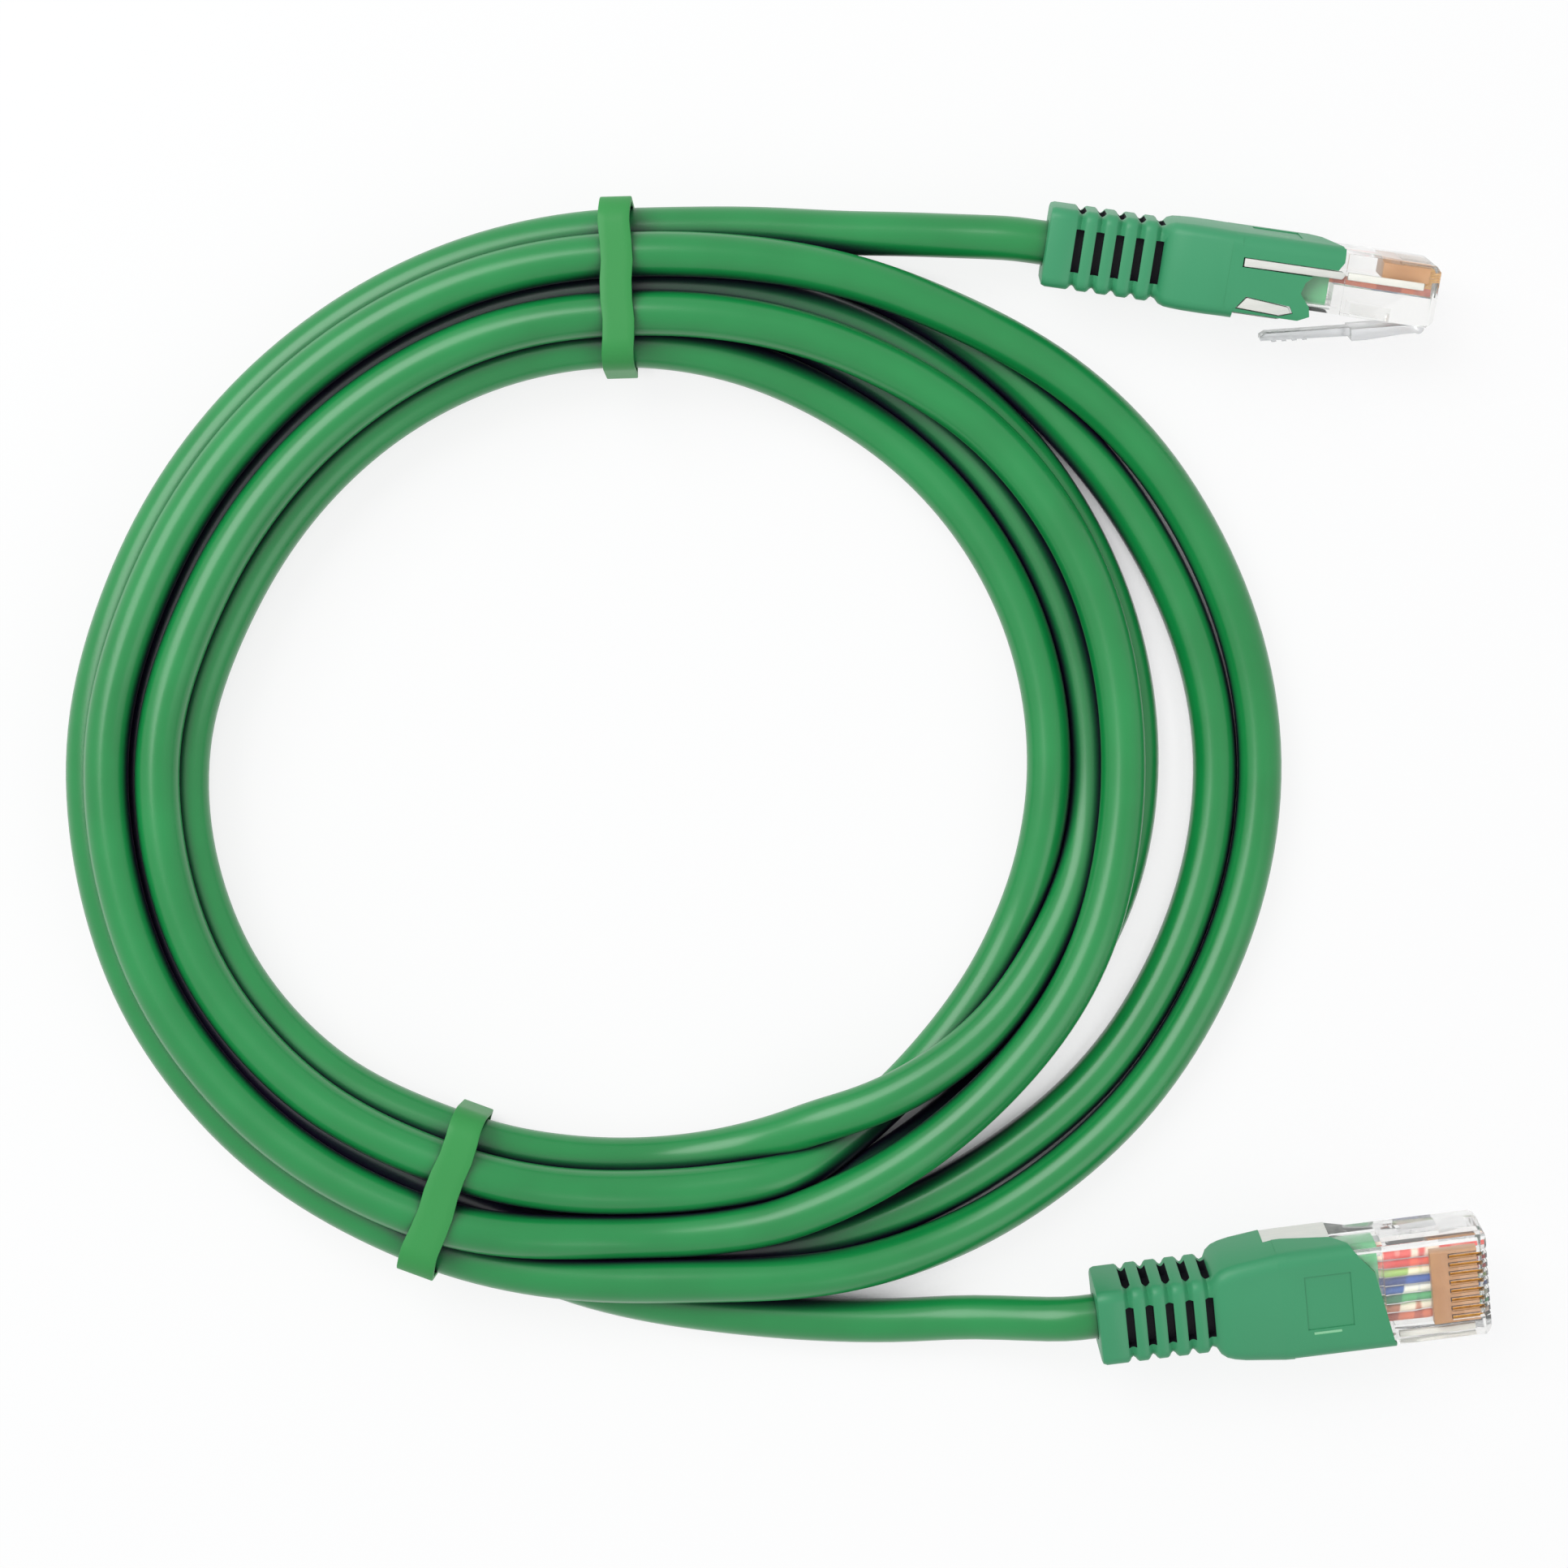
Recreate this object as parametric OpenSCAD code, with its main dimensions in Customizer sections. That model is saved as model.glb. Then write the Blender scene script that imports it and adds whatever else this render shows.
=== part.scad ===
// Ethernet patch cable: a coiled cord held by two flat ties, with a booted
// 8P8C modular plug on each end. Millimetres, +Z up, resting on Z = 0.
//
// A plug is drawn in its own frame: +X points to the nose, +Z to the contact
// side, -Z to the latch, and X = 0 is the rear face of the clear housing.

/* [Cord] */
// Outer diameter of the round cable jacket
cable_d = 4.8; // [4.4:0.1:5]
// Insulated diameter of one wire
wire_d = 0.84; // [0.7:0.02:0.84]
// Diameter of one copper conductor
conductor_d = 0.48; // [0.4:0.02:0.52]
// Jacket left beside the outer wires where the cable is pressed flat
jacket_side = 0.524; // [0.4:0.002:0.54]
// Thickness of the jacket where it is pressed flat inside a plug
flat_jacket_t = 4.6; // [4.2:0.2:4.8]

/* [Plug housing] */
// Length of the clear housing, rear face to nose
housing_l = 21.46; // [21.2:0.02:21.7]
// Width of the clear housing
housing_w = 11.68; // [11.5:0.02:11.8]
// Height of the housing at the cable end
rear_h = 8.0; // [7.8:0.1:8.2]
// Height of the housing at the nose
nose_h = 6.6; // [6.4:0.1:6.7]
// Distance from the rear face to the end of the tall cable end
rear_l = 5.0; // [4.5:0.1:5.2]
// Depth of the recess that takes a boot arm, on each narrow side
arm_recess = 0.5; // [0.3:0.1:0.6]
// Depth of the pocket that takes the jacket
jacket_pocket_l = 10.4; // [10:0.1:11]
// Gap between the jacket's cut end and the front of its pocket
jacket_end_gap = 0.6; // [0.4:0.1:1]
// Length over which the round jacket is pressed flat
flatten_l = 3.0; // [2.5:0.1:3.5]
// Length of the open chamber in front of the jacket pocket
wire_chamber_l = 2.2; // [2:0.1:2.8]
// Thickness of the plastic in front of the wire channels
nose_wall = 0.7; // [0.6:0.05:0.75]
// Distance of the wire row above the plug axis
wire_row_z = 1.0; // [0.8:0.1:1.2]
// Distance of the strain-relief window from the rear face
window_x = 2.2; // [2:0.1:2.4]
// Length of the strain-relief window
window_l = 2.4; // [2.2:0.1:2.6]
// Width of the strain-relief window
window_w = 5.2; // [5:0.1:5.6]
// Length of the hollow under the wire channels
hollow_l = 4.2; // [4:0.1:4.4]
// Width of the hollow under the wire channels
hollow_w = 7.2; // [7:0.1:7.6]
// Depth of the hollow under the wire channels
hollow_d = 1.4; // [1.2:0.1:1.6]
// Radius of the corners of the jacket pocket
pocket_corner_r = 1.2; // [0.8:0.1:1.4]
// Thinnest wall of the housing
thin_wall = 0.3; // [0.25:0.05:0.35]
// Chamfer along the front edges of the nose
nose_chamfer = 0.7; // [0.4:0.1:0.9]
// Radius of the nose's upright corners
nose_corner_r = 0.8; // [0.5:0.1:1]

/* [Contacts] */
// Spacing of the contacts
contact_pitch = 1.016; // [1:0.004:1.04]
// Thickness of a contact blade
contact_t = 0.34; // [0.3:0.02:0.36]
// Length of a contact blade along the plug
contact_l = 3.7; // [3.4:0.1:3.9]
// Distance from the nose to the front of a blade
contact_front = 0.45; // [0.3:0.05:0.6]
// Depth of the contact crest below the contact face
contact_sunk = 0.45; // [0.35:0.05:0.6]
// Height of the solid blade above its tines
blade_h = 1.45; // [1.3:0.05:1.5]
// Radius of the crest's front corner
contact_r = 0.85; // [0.5:0.05:1]

/* [Latch] */
// Length of the latch lever from its root to its free end
latch_l = 16.8; // [16:0.1:17]
// Width of the latch from its root to the locking shoulders
latch_root_w = 6.2; // [5.8:0.1:6.2]
// Length of the wide part of the latch
latch_shoulder_l = 7.2; // [6.8:0.1:7.6]
// Width of the finger lever
latch_lever_w = 3.25; // [3:0.05:3.4]
// Number of thumb ridges under the lever
ridge_n = 4; // [3:1:5]
// Spacing of the thumb ridges
ridge_pitch = 1.1; // [0.9:0.1:1.2]
// Distance from the lever's free end to its first ridge
ridge_first = 1.2; // [1:0.1:1.4]
// Length of a thumb ridge along the lever
ridge_l = 0.5; // [0.3:0.1:0.6]
// Height of a thumb ridge
ridge_h = 0.1; // [0.1:0.05:0.15]
// Plain edge of the lever beside a thumb ridge
ridge_edge = 0.3; // [0.2:0.1:0.5]
// Thickness of the latch
latch_t = 0.9; // [0.8:0.05:1]
// Radius of the round root that the latch bends about
latch_root_r = 0.6; // [0.5:0.05:0.65]
// Angle of the free latch off the plug axis
latch_rest = 12.3; // [12:0.1:12.8]
// Distance from the nose to the latch root
latch_root_x = 1.1; // [1:0.05:1.3]
// Depth that the round root sits in the housing
latch_seat_depth = 0.15; // [0.1:0.01:0.2]

/* [Boot] */
// Length of the ribbed strain relief
ribs_l = 12.4; // [12:0.1:13]
// Side of the square section at the rib crests
rib_crest = 8.6; // [8.4:0.1:9]
// Side of the square section at the corner spines
rib_spine = 7.5; // [7.3:0.1:7.8]
// Number of slots along each face of the strain relief
slot_n = 5; // [4:1:5]
// Spacing of the slots
slot_pitch = 2.15; // [2.1:0.01:2.2]
// Width of a slot along the boot
slot_w = 0.85; // [0.7:0.05:1]
// Length of a slot across a face
slot_l = 4.5; // [4.2:0.1:4.7]
// Length of the smooth grip between the ribs and the housing
grip_l = 8.2; // [7.8:0.1:8.6]
// Distance that the boot stands proud of the housing's narrow sides
arm_proud = 0.41; // [0.35:0.01:0.5]
// Distance that the boot stands proud of the housing's broad faces
hood_t = 0.6; // [0.5:0.05:0.7]
// Corner radius of the boot at the housing
boot_r = 1.4; // [1.2:0.1:1.8]
// Width of the grip where the ribs start
grip_rear_w = 10.9; // [10.4:0.1:11.2]
// Height of the grip where the ribs start
grip_rear_h = 8.7; // [8.6:0.1:8.8]
// Reach of the hood over the housing, on its long side
arm_l = 11.0; // [10:0.1:11.1]
// Reach of the hood over the housing, on its short side
hood_l = 7.0; // [6.5:0.1:7.6]
// Reach of the hood up to its cut corner, on its short side
hood_front_l = 9.2; // [8.6:0.1:9.6]
// Width of the hood's window over the contact face
hood_window = 2.2; // [2:0.1:2.4]
// Width of the upper tongue that the housing shows in the long arm
tongue_w = 0.9; // [0.7:0.1:1]
// Width of the lower tongue that the housing shows in the long arm
lower_tongue_w = 1.3; // [1.1:0.1:1.4]
// How much shorter the upper tongue is than the long arm
tongue_short = 3.2; // [3:0.1:3.6]

/* [Ties] */
// Width of a tie band
tie_w = 3.4; // [3:0.1:4]
// Thickness of a tie band
tie_t = 0.6; // [0.55:0.05:0.65]
// Diameter of the steel wire inside a tie
tie_core_d = 0.3; // [0.25:0.05:0.3]
// Size across the tied bundle, from the inside of the coil to its outside
bundle_w = 17.2; // [17:0.1:17.4]
// Height of the tied bundle
bundle_h = 12.6; // [12.3:0.1:12.8]

/* [Fits] */
// Gap in front of a side arm in its recess
arm_front_gap = 0.4; // [0.3:0.1:0.6]
// Clearance between pieces that are fixed to each other
fit_gap = 0.05; // [0.03:0.01:0.08]
// Clearance of a wire in its channel
channel_gap = 0.04; // [0.03:0.01:0.05]
// Clearance between a tie and the cords that it holds
tie_gap = 0.12; // [0.1:0.01:0.15]

/* [Placement] */
// Height of plug A's axis above the surface
plug_a_z = 6.95; // [6.95:0.05:7.5]
// Turn of plug A's axis, seen from above
plug_a_turn = -8.2; // [-10:0.1:-6]
// Roll of plug A about its axis
plug_a_roll = -76; // [-80:1:-72]
// Height of plug B's axis above the surface
plug_b_z = 7.75; // [7.7:0.05:8]
// Turn of plug B's axis, seen from above
plug_b_turn = 7.1; // [5:0.1:9]
// Roll of plug B about its axis
plug_b_roll = 17; // [14:1:20]

/* [Hidden] */
$fn = 32;
eps = 0.01;
round_fn = 48;

CONTACTS = 8;

jacket_green = [0.18, 0.55, 0.32];
boot_green = [0.22, 0.58, 0.40];
tie_green = [0.20, 0.60, 0.32];
clear = [0.88, 0.90, 0.92, 0.4];
gold = [0.80, 0.58, 0.25];
copper = [0.78, 0.45, 0.25];
steel = [0.62, 0.62, 0.64];
// Insulation colours of contacts 1 to 8
wire_colours = [
    [0.96, 0.78, 0.62], [0.93, 0.45, 0.12], [0.75, 0.90, 0.78], [0.10, 0.30, 0.72],
    [0.70, 0.80, 0.94], [0.12, 0.55, 0.25], [0.86, 0.74, 0.64], [0.48, 0.25, 0.14]
];

// ---- derived sizes of the plug ----

face_z = rear_h / 2;
nose_low_z = face_z - nose_h;
side_y = housing_w / 2;
boot_l = ribs_l + grip_l;
boot_w = housing_w + 2 * arm_proud;
boot_h = rear_h + 2 * hood_t;
flat_jacket_w = (CONTACTS - 1) * contact_pitch + wire_d + 2 * jacket_side;
pocket_w = flat_jacket_w + 2 * fit_gap;
pocket_t = flat_jacket_t + 2 * fit_gap;
flat_corner_r = pocket_corner_r - 2 * fit_gap;
channel_x = jacket_pocket_l + wire_chamber_l;
wire_end = housing_l - nose_wall - 2 * fit_gap;
jacket_front = jacket_pocket_l - jacket_end_gap;
blade_x = housing_l - contact_front - contact_l;
crest_z = face_z - contact_sunk;
blade_low = crest_z - blade_h;
tine_z = wire_row_z - conductor_d / 2;
root_x = housing_l - latch_root_x;
root_z = nose_low_z - latch_root_r + latch_seat_depth;
latch_top = latch_root_r - 0.2;
first_slot = -grip_l - slot_w - (slot_n - 1) * slot_pitch;
rear_slope_l = 2.4;
rib_round = 0.4;
rib_corner_r = 1.9;
grip_rear_r = 2;
grip_overlap = 1;
cable_bore = cable_d + 4 * fit_gap;
function contact_y(i) = (CONTACTS - 1 - 2 * i) * contact_pitch / 2;

// ---- 2D and solid helpers ----

// Rectangle w by h with corners of radius r, drawn with true arcs.
module rounded_rect(w, h, r, fn = round_fn) {
    square([w - 2 * r, h], center = true);
    square([w, h - 2 * r], center = true);
    for (sx = [-1, 1], sy = [-1, 1])
        translate([sx * (w / 2 - r), sy * (h / 2 - r)]) circle(r, $fn = fn);
}

// Rounded block from x = x0 to x0 + l along X, w wide (Y) and h high (Z).
module x_block(x0, l, w, h, r) {
    translate([x0, 0, 0])
        rotate([90, 0, 90])
            linear_extrude(l) rounded_rect(w, h, r);
}

// Profile drawn as [x, z] points, w wide across Y and centred on it.
module side_profile(points, w) {
    translate([0, w / 2, 0])
        rotate([90, 0, 0])
            linear_extrude(w) polygon(points);
}

// Round bar along X.
module x_bar(x0, l, d, y = 0, z = 0) {
    translate([x0, y, z])
        rotate([0, 90, 0])
            cylinder(h = l, d = d, $fn = round_fn);
}

// ---- plug pieces, in the plug's own frame ----

module housing_outline() {
    c = nose_chamfer;
    r = nose_corner_r;
    intersection() {
        side_profile([
            [0, -face_z], [rear_l, -face_z], [rear_l + rear_slope_l, nose_low_z],
            [housing_l - c, nose_low_z], [housing_l, nose_low_z + c],
            [housing_l, face_z - c], [housing_l - c, face_z], [0, face_z]
        ], housing_w);
        translate([0, 0, -face_z])
            linear_extrude(rear_h) {
                translate([0, -side_y]) square([housing_l - r, housing_w]);
                translate([0, r - side_y]) square([housing_l, housing_w - 2 * r]);
                for (s = [-1, 1])
                    translate([housing_l - r, s * (side_y - r)]) circle(r, $fn = round_fn);
            }
    }
}

// Tongues in the long arm as [x, z, length, width]: the upper one runs out at the arm's front.
arm_tongues = [
    [0.4, 1.1, arm_l - tongue_short, tongue_w], [0.2, -3.3, hood_l - 1, lower_tongue_w]
];

// Tongues, grown by the gap g: they stand in the recess of the long arm, flush with the arm.
module tongues(g = 0) {
    for (w = arm_tongues)
        translate([w[0] - g, -boot_w / 2 + fit_gap - g, w[1] - g])
            cube([w[2] + 2 * g, arm_proud + arm_recess - fit_gap + g + eps, w[3] + 2 * g]);
}

module contact_slots() {
    for (i = [0 : CONTACTS - 1]) translate([0, contact_y(i), 0]) {
        w = contact_t + 2 * fit_gap;
        translate([blade_x - fit_gap, -w / 2, wire_row_z])
            cube([contact_l + 2 * fit_gap, w, face_z]);
        translate([housing_l - contact_front - contact_r, -w / 2, blade_low - fit_gap])
            cube([contact_front + contact_r + eps, w, face_z]);
    }
}

module latch_seat() {
    translate([root_x, 0, root_z])
        rotate([90, 0, 0])
            cylinder(h = latch_root_w + 6 * fit_gap, r = latch_root_r + fit_gap,
                center = true, $fn = round_fn);
}

// The pressed strain-relief bar leaves this window on the latch side.
module strain_relief_window() {
    translate([window_x, -window_w / 2, -face_z - eps])
        cube([window_l, window_w, face_z - cable_bore / 2 - thin_wall + eps]);
}

module housing() {
    color(clear) {
        housing_shell();
        tongues();
    }
}

module housing_shell() {
    difference() {
        housing_outline();
        // recesses that take the boot's side arms
        for (s = [-1, 1])
            translate([-eps, s * (side_y - arm_recess / 2 + eps / 2), 0])
                rotate([0, 90, 0])
                    linear_extrude((s < 0 ? arm_l : hood_l) + arm_front_gap)
                        square([rear_h + 2 * eps, arm_recess + eps], center = true);
        // jacket pocket and wire chamber
        x_block(-eps, jacket_pocket_l + eps, pocket_w, pocket_t, pocket_corner_r);
        x_block(-eps, flatten_l + eps, pocket_w, cable_bore, pocket_corner_r);
        translate([jacket_pocket_l - eps, thin_wall - pocket_w / 2, wire_row_z - wire_d])
            cube([wire_chamber_l + 2 * eps, pocket_w - 2 * thin_wall, 2 * wire_d]);
        // wire channels
        for (i = [0 : CONTACTS - 1])
            x_bar(channel_x, housing_l - nose_wall - channel_x,
                wire_d + 2 * channel_gap, contact_y(i), wire_row_z);
        contact_slots();
        latch_seat();
        strain_relief_window();
        // material saver under the wire channels
        translate([channel_x, -hollow_w / 2, nose_low_z - eps])
            cube([hollow_l, hollow_w, hollow_d + eps]);
    }
}

module contact(i) {
    r = contact_r;
    tine_w = 0.7;
    color(gold)
    translate([blade_x, contact_y(i) + contact_t / 2, 0])
        rotate([90, 0, 0])
            linear_extrude(contact_t)
            union() {
                difference() {
                    translate([0, blade_low]) square([contact_l, blade_h]);
                    translate([contact_l - r, crest_z - r])
                        difference() {
                            square([r + eps, r + eps]);
                            circle(r, $fn = round_fn);
                        }
                }
                // two tines pierce the wire
                for (x = [0.35, contact_l - 0.35 - tine_w])
                    polygon([
                        [x, blade_low], [x, tine_z + 0.3],
                        [x + tine_w / 2, tine_z], [x + tine_w, tine_z + 0.3],
                        [x + tine_w, blade_low]
                    ]);
            }
}

module wire(i) {
    color(wire_colours[i])
    difference() {
        x_bar(jacket_front, wire_end - jacket_front, wire_d, contact_y(i), wire_row_z);
        x_bar(jacket_front - eps, wire_end - jacket_front + 2 * eps, conductor_d,
            contact_y(i), wire_row_z);
    }
}

module conductors() {
    color(copper)
    for (i = [0 : CONTACTS - 1])
        x_bar(jacket_front, wire_end - jacket_front, conductor_d - 0.02,
            contact_y(i), wire_row_z);
}

// Jacket inside the boot, pressed flat where it enters the housing.
module jacket_end() {
    color(jacket_green) {
        x_bar(-boot_l, boot_l, cable_d);
        hull() {
            x_bar(0, 0.4, cable_d);
            x_block(flatten_l - 0.4, 0.4, flat_jacket_w, flat_jacket_t, flat_corner_r);
        }
        x_block(flatten_l, jacket_front - flatten_l, flat_jacket_w, flat_jacket_t, flat_corner_r);
    }
}

// Latch lever with its round root, at rest.
module latch() {
    top = latch_top;
    low = latch_top - latch_t;
    color(clear)
    translate([root_x, 0, root_z])
        rotate([0, -latch_rest, 0]) {
            rotate([90, 0, 0])
                cylinder(h = latch_root_w, r = latch_root_r, center = true, $fn = round_fn);
            // wide part, up to the locking shoulders
            side_profile([
                [0, low], [0, top], [-latch_shoulder_l, top],
                [-latch_shoulder_l, low - 0.35], [-latch_shoulder_l + 1.6, low - 0.35],
                [-1.6, low]
            ], latch_root_w);
            // finger lever
            side_profile([
                [-latch_shoulder_l + eps, low], [-latch_shoulder_l + eps, top],
                [-latch_l + 0.6, top], [-latch_l, top - 0.35], [-latch_l, low + 0.15]
            ], latch_lever_w);
            // thumb ridges
            for (k = [0 : ridge_n - 1])
                translate([
                    ridge_first - latch_l + k * ridge_pitch, ridge_edge - latch_lever_w / 2, low - ridge_h
                ])
                    cube([ridge_l, latch_lever_w - 2 * ridge_edge, ridge_h + latch_t / 3]);
        }
}

// ---- boot ----

// One raised rib between two rows of slots, with rounded crests.
module rib(x0, l) {
    crown = rib_crest - rib_round;
    x_block(x0, l, crown, crown, rib_corner_r);
    x_block(x0 + l * 0.2, l * 0.6, rib_crest, rib_crest, rib_corner_r + rib_round / 2);
}

module strain_relief() {
    gap = slot_pitch - slot_w;
    x_block(-boot_l, ribs_l + slot_w, rib_spine, rib_spine, rib_corner_r);
    // rear collar and the ribs between the slots
    rib(-boot_l, first_slot - fit_gap + boot_l);
    for (k = [1 : slot_n - 1]) rib(first_slot + k * slot_pitch - gap, gap);
}

// Slots on all four sides, from the outside down to the cord's bore.
module slots() {
    for (k = [0 : slot_n - 1], turn = [0 : 90 : 270])
        translate([first_slot + k * slot_pitch, 0, 0])
            rotate([turn, 0, 0])
                translate([0, -slot_l / 2, cable_d / 2]) cube([slot_w, slot_l, rib_crest]);
}

// Smooth grip, from the ribs to the rear face of the housing.
module grip() {
    hull() {
        x_block(-grip_l, grip_overlap, grip_rear_w - 1.2, grip_rear_h - 0.4, grip_rear_r);
        x_block(-grip_l + 1.4, grip_overlap, grip_rear_w, grip_rear_h, grip_rear_r);
        x_block(-grip_overlap, grip_overlap, boot_w, boot_h, boot_r);
    }
}

// Side arm on a narrow side of the housing, cut to its [x, z] outline.
module side_arm(s, outline) {
    t = boot_w / 2 - (side_y - arm_recess) - fit_gap;
    translate([0, s * (boot_w / 2 - t / 2), 0]) side_profile(outline, t);
}

// Arms on the narrow sides and the slanted hood over the contact face.
module hood() {
    top = boot_h / 2;
    low = 0.2 - face_z;
    back = -grip_overlap;
    half = boot_w / 2;
    intersection() {
        x_block(back, arm_l - back, boot_w, boot_h, boot_r);
        union() {
            difference() {
                side_arm(-1, [
                    [back, low], [hood_l, low], [hood_l + 1.4, low + 0.8], [hood_l - 0.4, -1.2],
                    [hood_l + 0.3, 0.9], [arm_l - 1.4, 2.2], [arm_l, top - 1.2], [arm_l, top],
                    [back, top]
                ]);
                tongues(fit_gap);
            }
            side_arm(1, [[back, low], [hood_l, low], [hood_l, top], [back, top]]);
            translate([0, 0, face_z + fit_gap])
                linear_extrude(top - face_z)
                    difference() {
                        polygon([
                            [back, -half], [arm_l, -half], [hood_front_l, half / 2],
                            [hood_l, half - hood_window], [hood_l, half], [back, half]
                        ]);
                        translate([0.6, half - 1.7 * hood_window])
                            polygon([
                                [0, 0], [1.9 * hood_window, 0.4 * hood_window],
                                [1.9 * hood_window, hood_window], [0, hood_window]
                            ]);
                    }
        }
    }
}

module boot() {
    color(boot_green)
    difference() {
        union() {
            strain_relief();
            grip();
            hood();
        }
        x_bar(-boot_l - eps, boot_l + 2 * eps, cable_bore);
        slots();
    }
}

// ---- placing the plugs ----

plug_a_exit = [28.6, 58.1, plug_a_z];
plug_b_exit = [34.0, -57.8, plug_b_z];

function heading(turn) = [cos(turn), sin(turn), 0];

// Puts a plug's own frame into the part's frame. The exit is where the cord leaves the boot.
module at_plug(exit, turn, roll) {
    translate(exit + boot_l * heading(turn))
        rotate([0, 0, turn])
            rotate([roll, 0, 0]) children();
}

module at_a() {
    at_plug(plug_a_exit, plug_a_turn, plug_a_roll) children();
}

module at_b() {
    at_plug(plug_b_exit, plug_b_turn, plug_b_roll) children();
}

// ---- cord ----

coil_centre = [-13.8, 1.4];
// Angle of the first station of the tied coil; the others follow every 30 degrees
coil_start = 4;
tie_lift = tie_t + 2 * tie_gap;
// Tied part of the coil: inner radius, width, underside, height
coil_stations = [
    [40.6, 15.0, 0.0, 9.3], [41.0, 16.4, 0.0, 9.1], [41.6, 18.2, 0.2, 10.8],
    [43.4, bundle_w, tie_lift, bundle_h],
    [44.7, 16.5, 0.2, 12.5], [45.8, 16.2, 0.0, 12.5], [48.2, 15.2, 0.0, 12.8],
    [46.8, 15.8, 0.2, 12.7],
    [42.1, bundle_w, tie_lift, bundle_h],
    [40.2, 18.2, 0.3, 10.2], [39.9, 13.8, 0.0, 9.8], [40.5, 12.4, 0.0, 9.7]
];
// Two loose outer turns, lying side by side: angle, radius of their middle
loose_stations = [
    [-76, 53.0], [-62, 56.4], [-48, 59.2], [-34, 61.2], [-20, 62.8], [-6, 63.8],
    [8, 63.8], [22, 62.8], [36, 60.9], [50, 58.4], [64, 55.2]
];
// Tails, from the tied coil towards each boot
tail_a_route = [[-14.2, 59.6, 7.0], [-4.0, 59.4, 7.0], [6.7, 58.9, 7.0], [18.0, 58.6, 6.9]];
tail_b_route = [
    [-14.2, -55.9, 3.2], [-3.7, -58.1, 2.6], [7.6, -59.1, 2.7], [19.0, -59.0, 4.2]
];
coil_rings = 48;
coil_sides = 12;
tail_sides = 10;

// Smooth curve from p1 to p2 at the fraction t, with p0 and p3 as its neighbours.
function spline(p0, p1, p2, p3, t) =
    0.5 * (2 * p1 + (p2 - p0) * t + (2 * p0 - 5 * p1 + 4 * p2 - p3) * t * t
        + (3 * p1 - p0 - 3 * p2 + p3) * t * t * t);

// Smooth closed curve through the values v, at the fraction u of a full turn.
function around(v, u) =
    let (n = len(v), s = u * n, k = floor(s))
    spline(v[(k + n - 1) % n], v[k % n], v[(k + 1) % n], v[(k + 2) % n], s - k);

// Smooth open curve through the values v, at the place s counted in values.
function along(v, s) =
    let (n = len(v) - 1, k = min(floor(s), n - 1))
    spline(v[max(k - 1, 0)], v[k], v[k + 1], v[min(k + 2, n)], s - k);

// Section of cords lying together, as [radius, z] points: a rectangle with round corners.
// s holds its inner radius, width, underside and height.
function coil_section(s) =
    [for (corner = [0 : 3], k = [0 : 2])
        let (
            a = 180 + corner * 90 + k * 45,
            out = corner == 1 || corner == 2,
            up = corner >= 2,
            r = cable_d / 2,
            low = max(s[2], 0)
        )
        [s[0] + (out ? s[1] - r : r) + r * cos(a), low + (up ? s[3] - r : r) + r * sin(a)]];

// Faces of a skin of rings, closed to a loop or capped at its two ends.
function skin_faces(rings, sides, loop) = concat(
    [for (i = [0 : rings - (loop ? 1 : 2)], j = [0 : sides - 1])
        let (a = i * sides, b = ((i + 1) % rings) * sides, k = (j + 1) % sides)
        each [[a + j, b + j, b + k], [a + j, b + k, a + k]]],
    loop ? [] : [
        [for (j = [0 : sides - 1]) j],
        [for (j = [sides - 1 : -1 : 0]) (rings - 1) * sides + j]
    ]);

function polar_point(r, a, z) =
    [coil_centre[0] + r * cos(a), coil_centre[1] + r * sin(a), z];

module cable_coil() {
    points = [for (i = [0.5 : coil_rings], p = coil_section(around(coil_stations, i / coil_rings)))
        polar_point(p[0], coil_start + 360 * i / coil_rings, p[1])];
    color(jacket_green) polyhedron(points, skin_faces(coil_rings, coil_sides, true));
}

module cable_outer_turns() {
    sections = [for (k = [0 : 0.5 : len(loose_stations) - 1])
        let (s = along(loose_stations, k))
        [for (p = coil_section([s[1] - cable_d, 2 * cable_d, 0, cable_d]))
            polar_point(p[0], s[0], p[1])]];
    color(jacket_green)
        polyhedron([for (s = sections) each s], skin_faces(len(sections), coil_sides, false));
}

function unit(v) = v / norm(v);

// One ring of a tube: sides points round p, square to the direction d.
function tube_ring(p, d, dia, sides) =
    let (u = unit(cross([0, 0, 1], d)), w = cross(d, u))
    [for (j = [0 : sides - 1])
        let (a = 360 * j / sides) p + dia / 2 * (cos(a) * u + sin(a) * w)];

// Tube swept along a route of points.
module tube(route, dia) {
    n = len(route);
    rings = [for (i = [0 : n - 1])
        tube_ring(route[i], unit(route[min(i + 1, n - 1)] - route[max(i - 1, 0)]), dia, tail_sides)];
    polyhedron([for (r = rings) each r], skin_faces(n, tail_sides, false));
}

// A tail's own points, then straight along the plug's axis to the boot.
function tail(route, exit, turn) =
    concat(route, [exit - 4 * heading(turn), exit - 2 * heading(turn), exit]);

module cable_tail_a() {
    color(jacket_green) tube(tail(tail_a_route, plug_a_exit, plug_a_turn), cable_d);
}

module cable_tail_b() {
    color(jacket_green) tube(tail(tail_b_route, plug_b_exit, plug_b_turn), cable_d);
}

// ---- ties ----

tie_top_angle = coil_start + 90;
tie_bottom_angle = coil_start + 240;

// Ring outline round the bundle, from the inset distance outward by t.
module tie_ring(inset, t) {
    w = bundle_w + 2 * (tie_gap + inset);
    h = bundle_h + 2 * (tie_gap + inset);
    r = cable_d / 2 + tie_gap + inset;
    difference() {
        rounded_rect(w + 2 * t, h + 2 * t, r + t, 64);
        rounded_rect(w, h, r, 64);
    }
}

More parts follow.
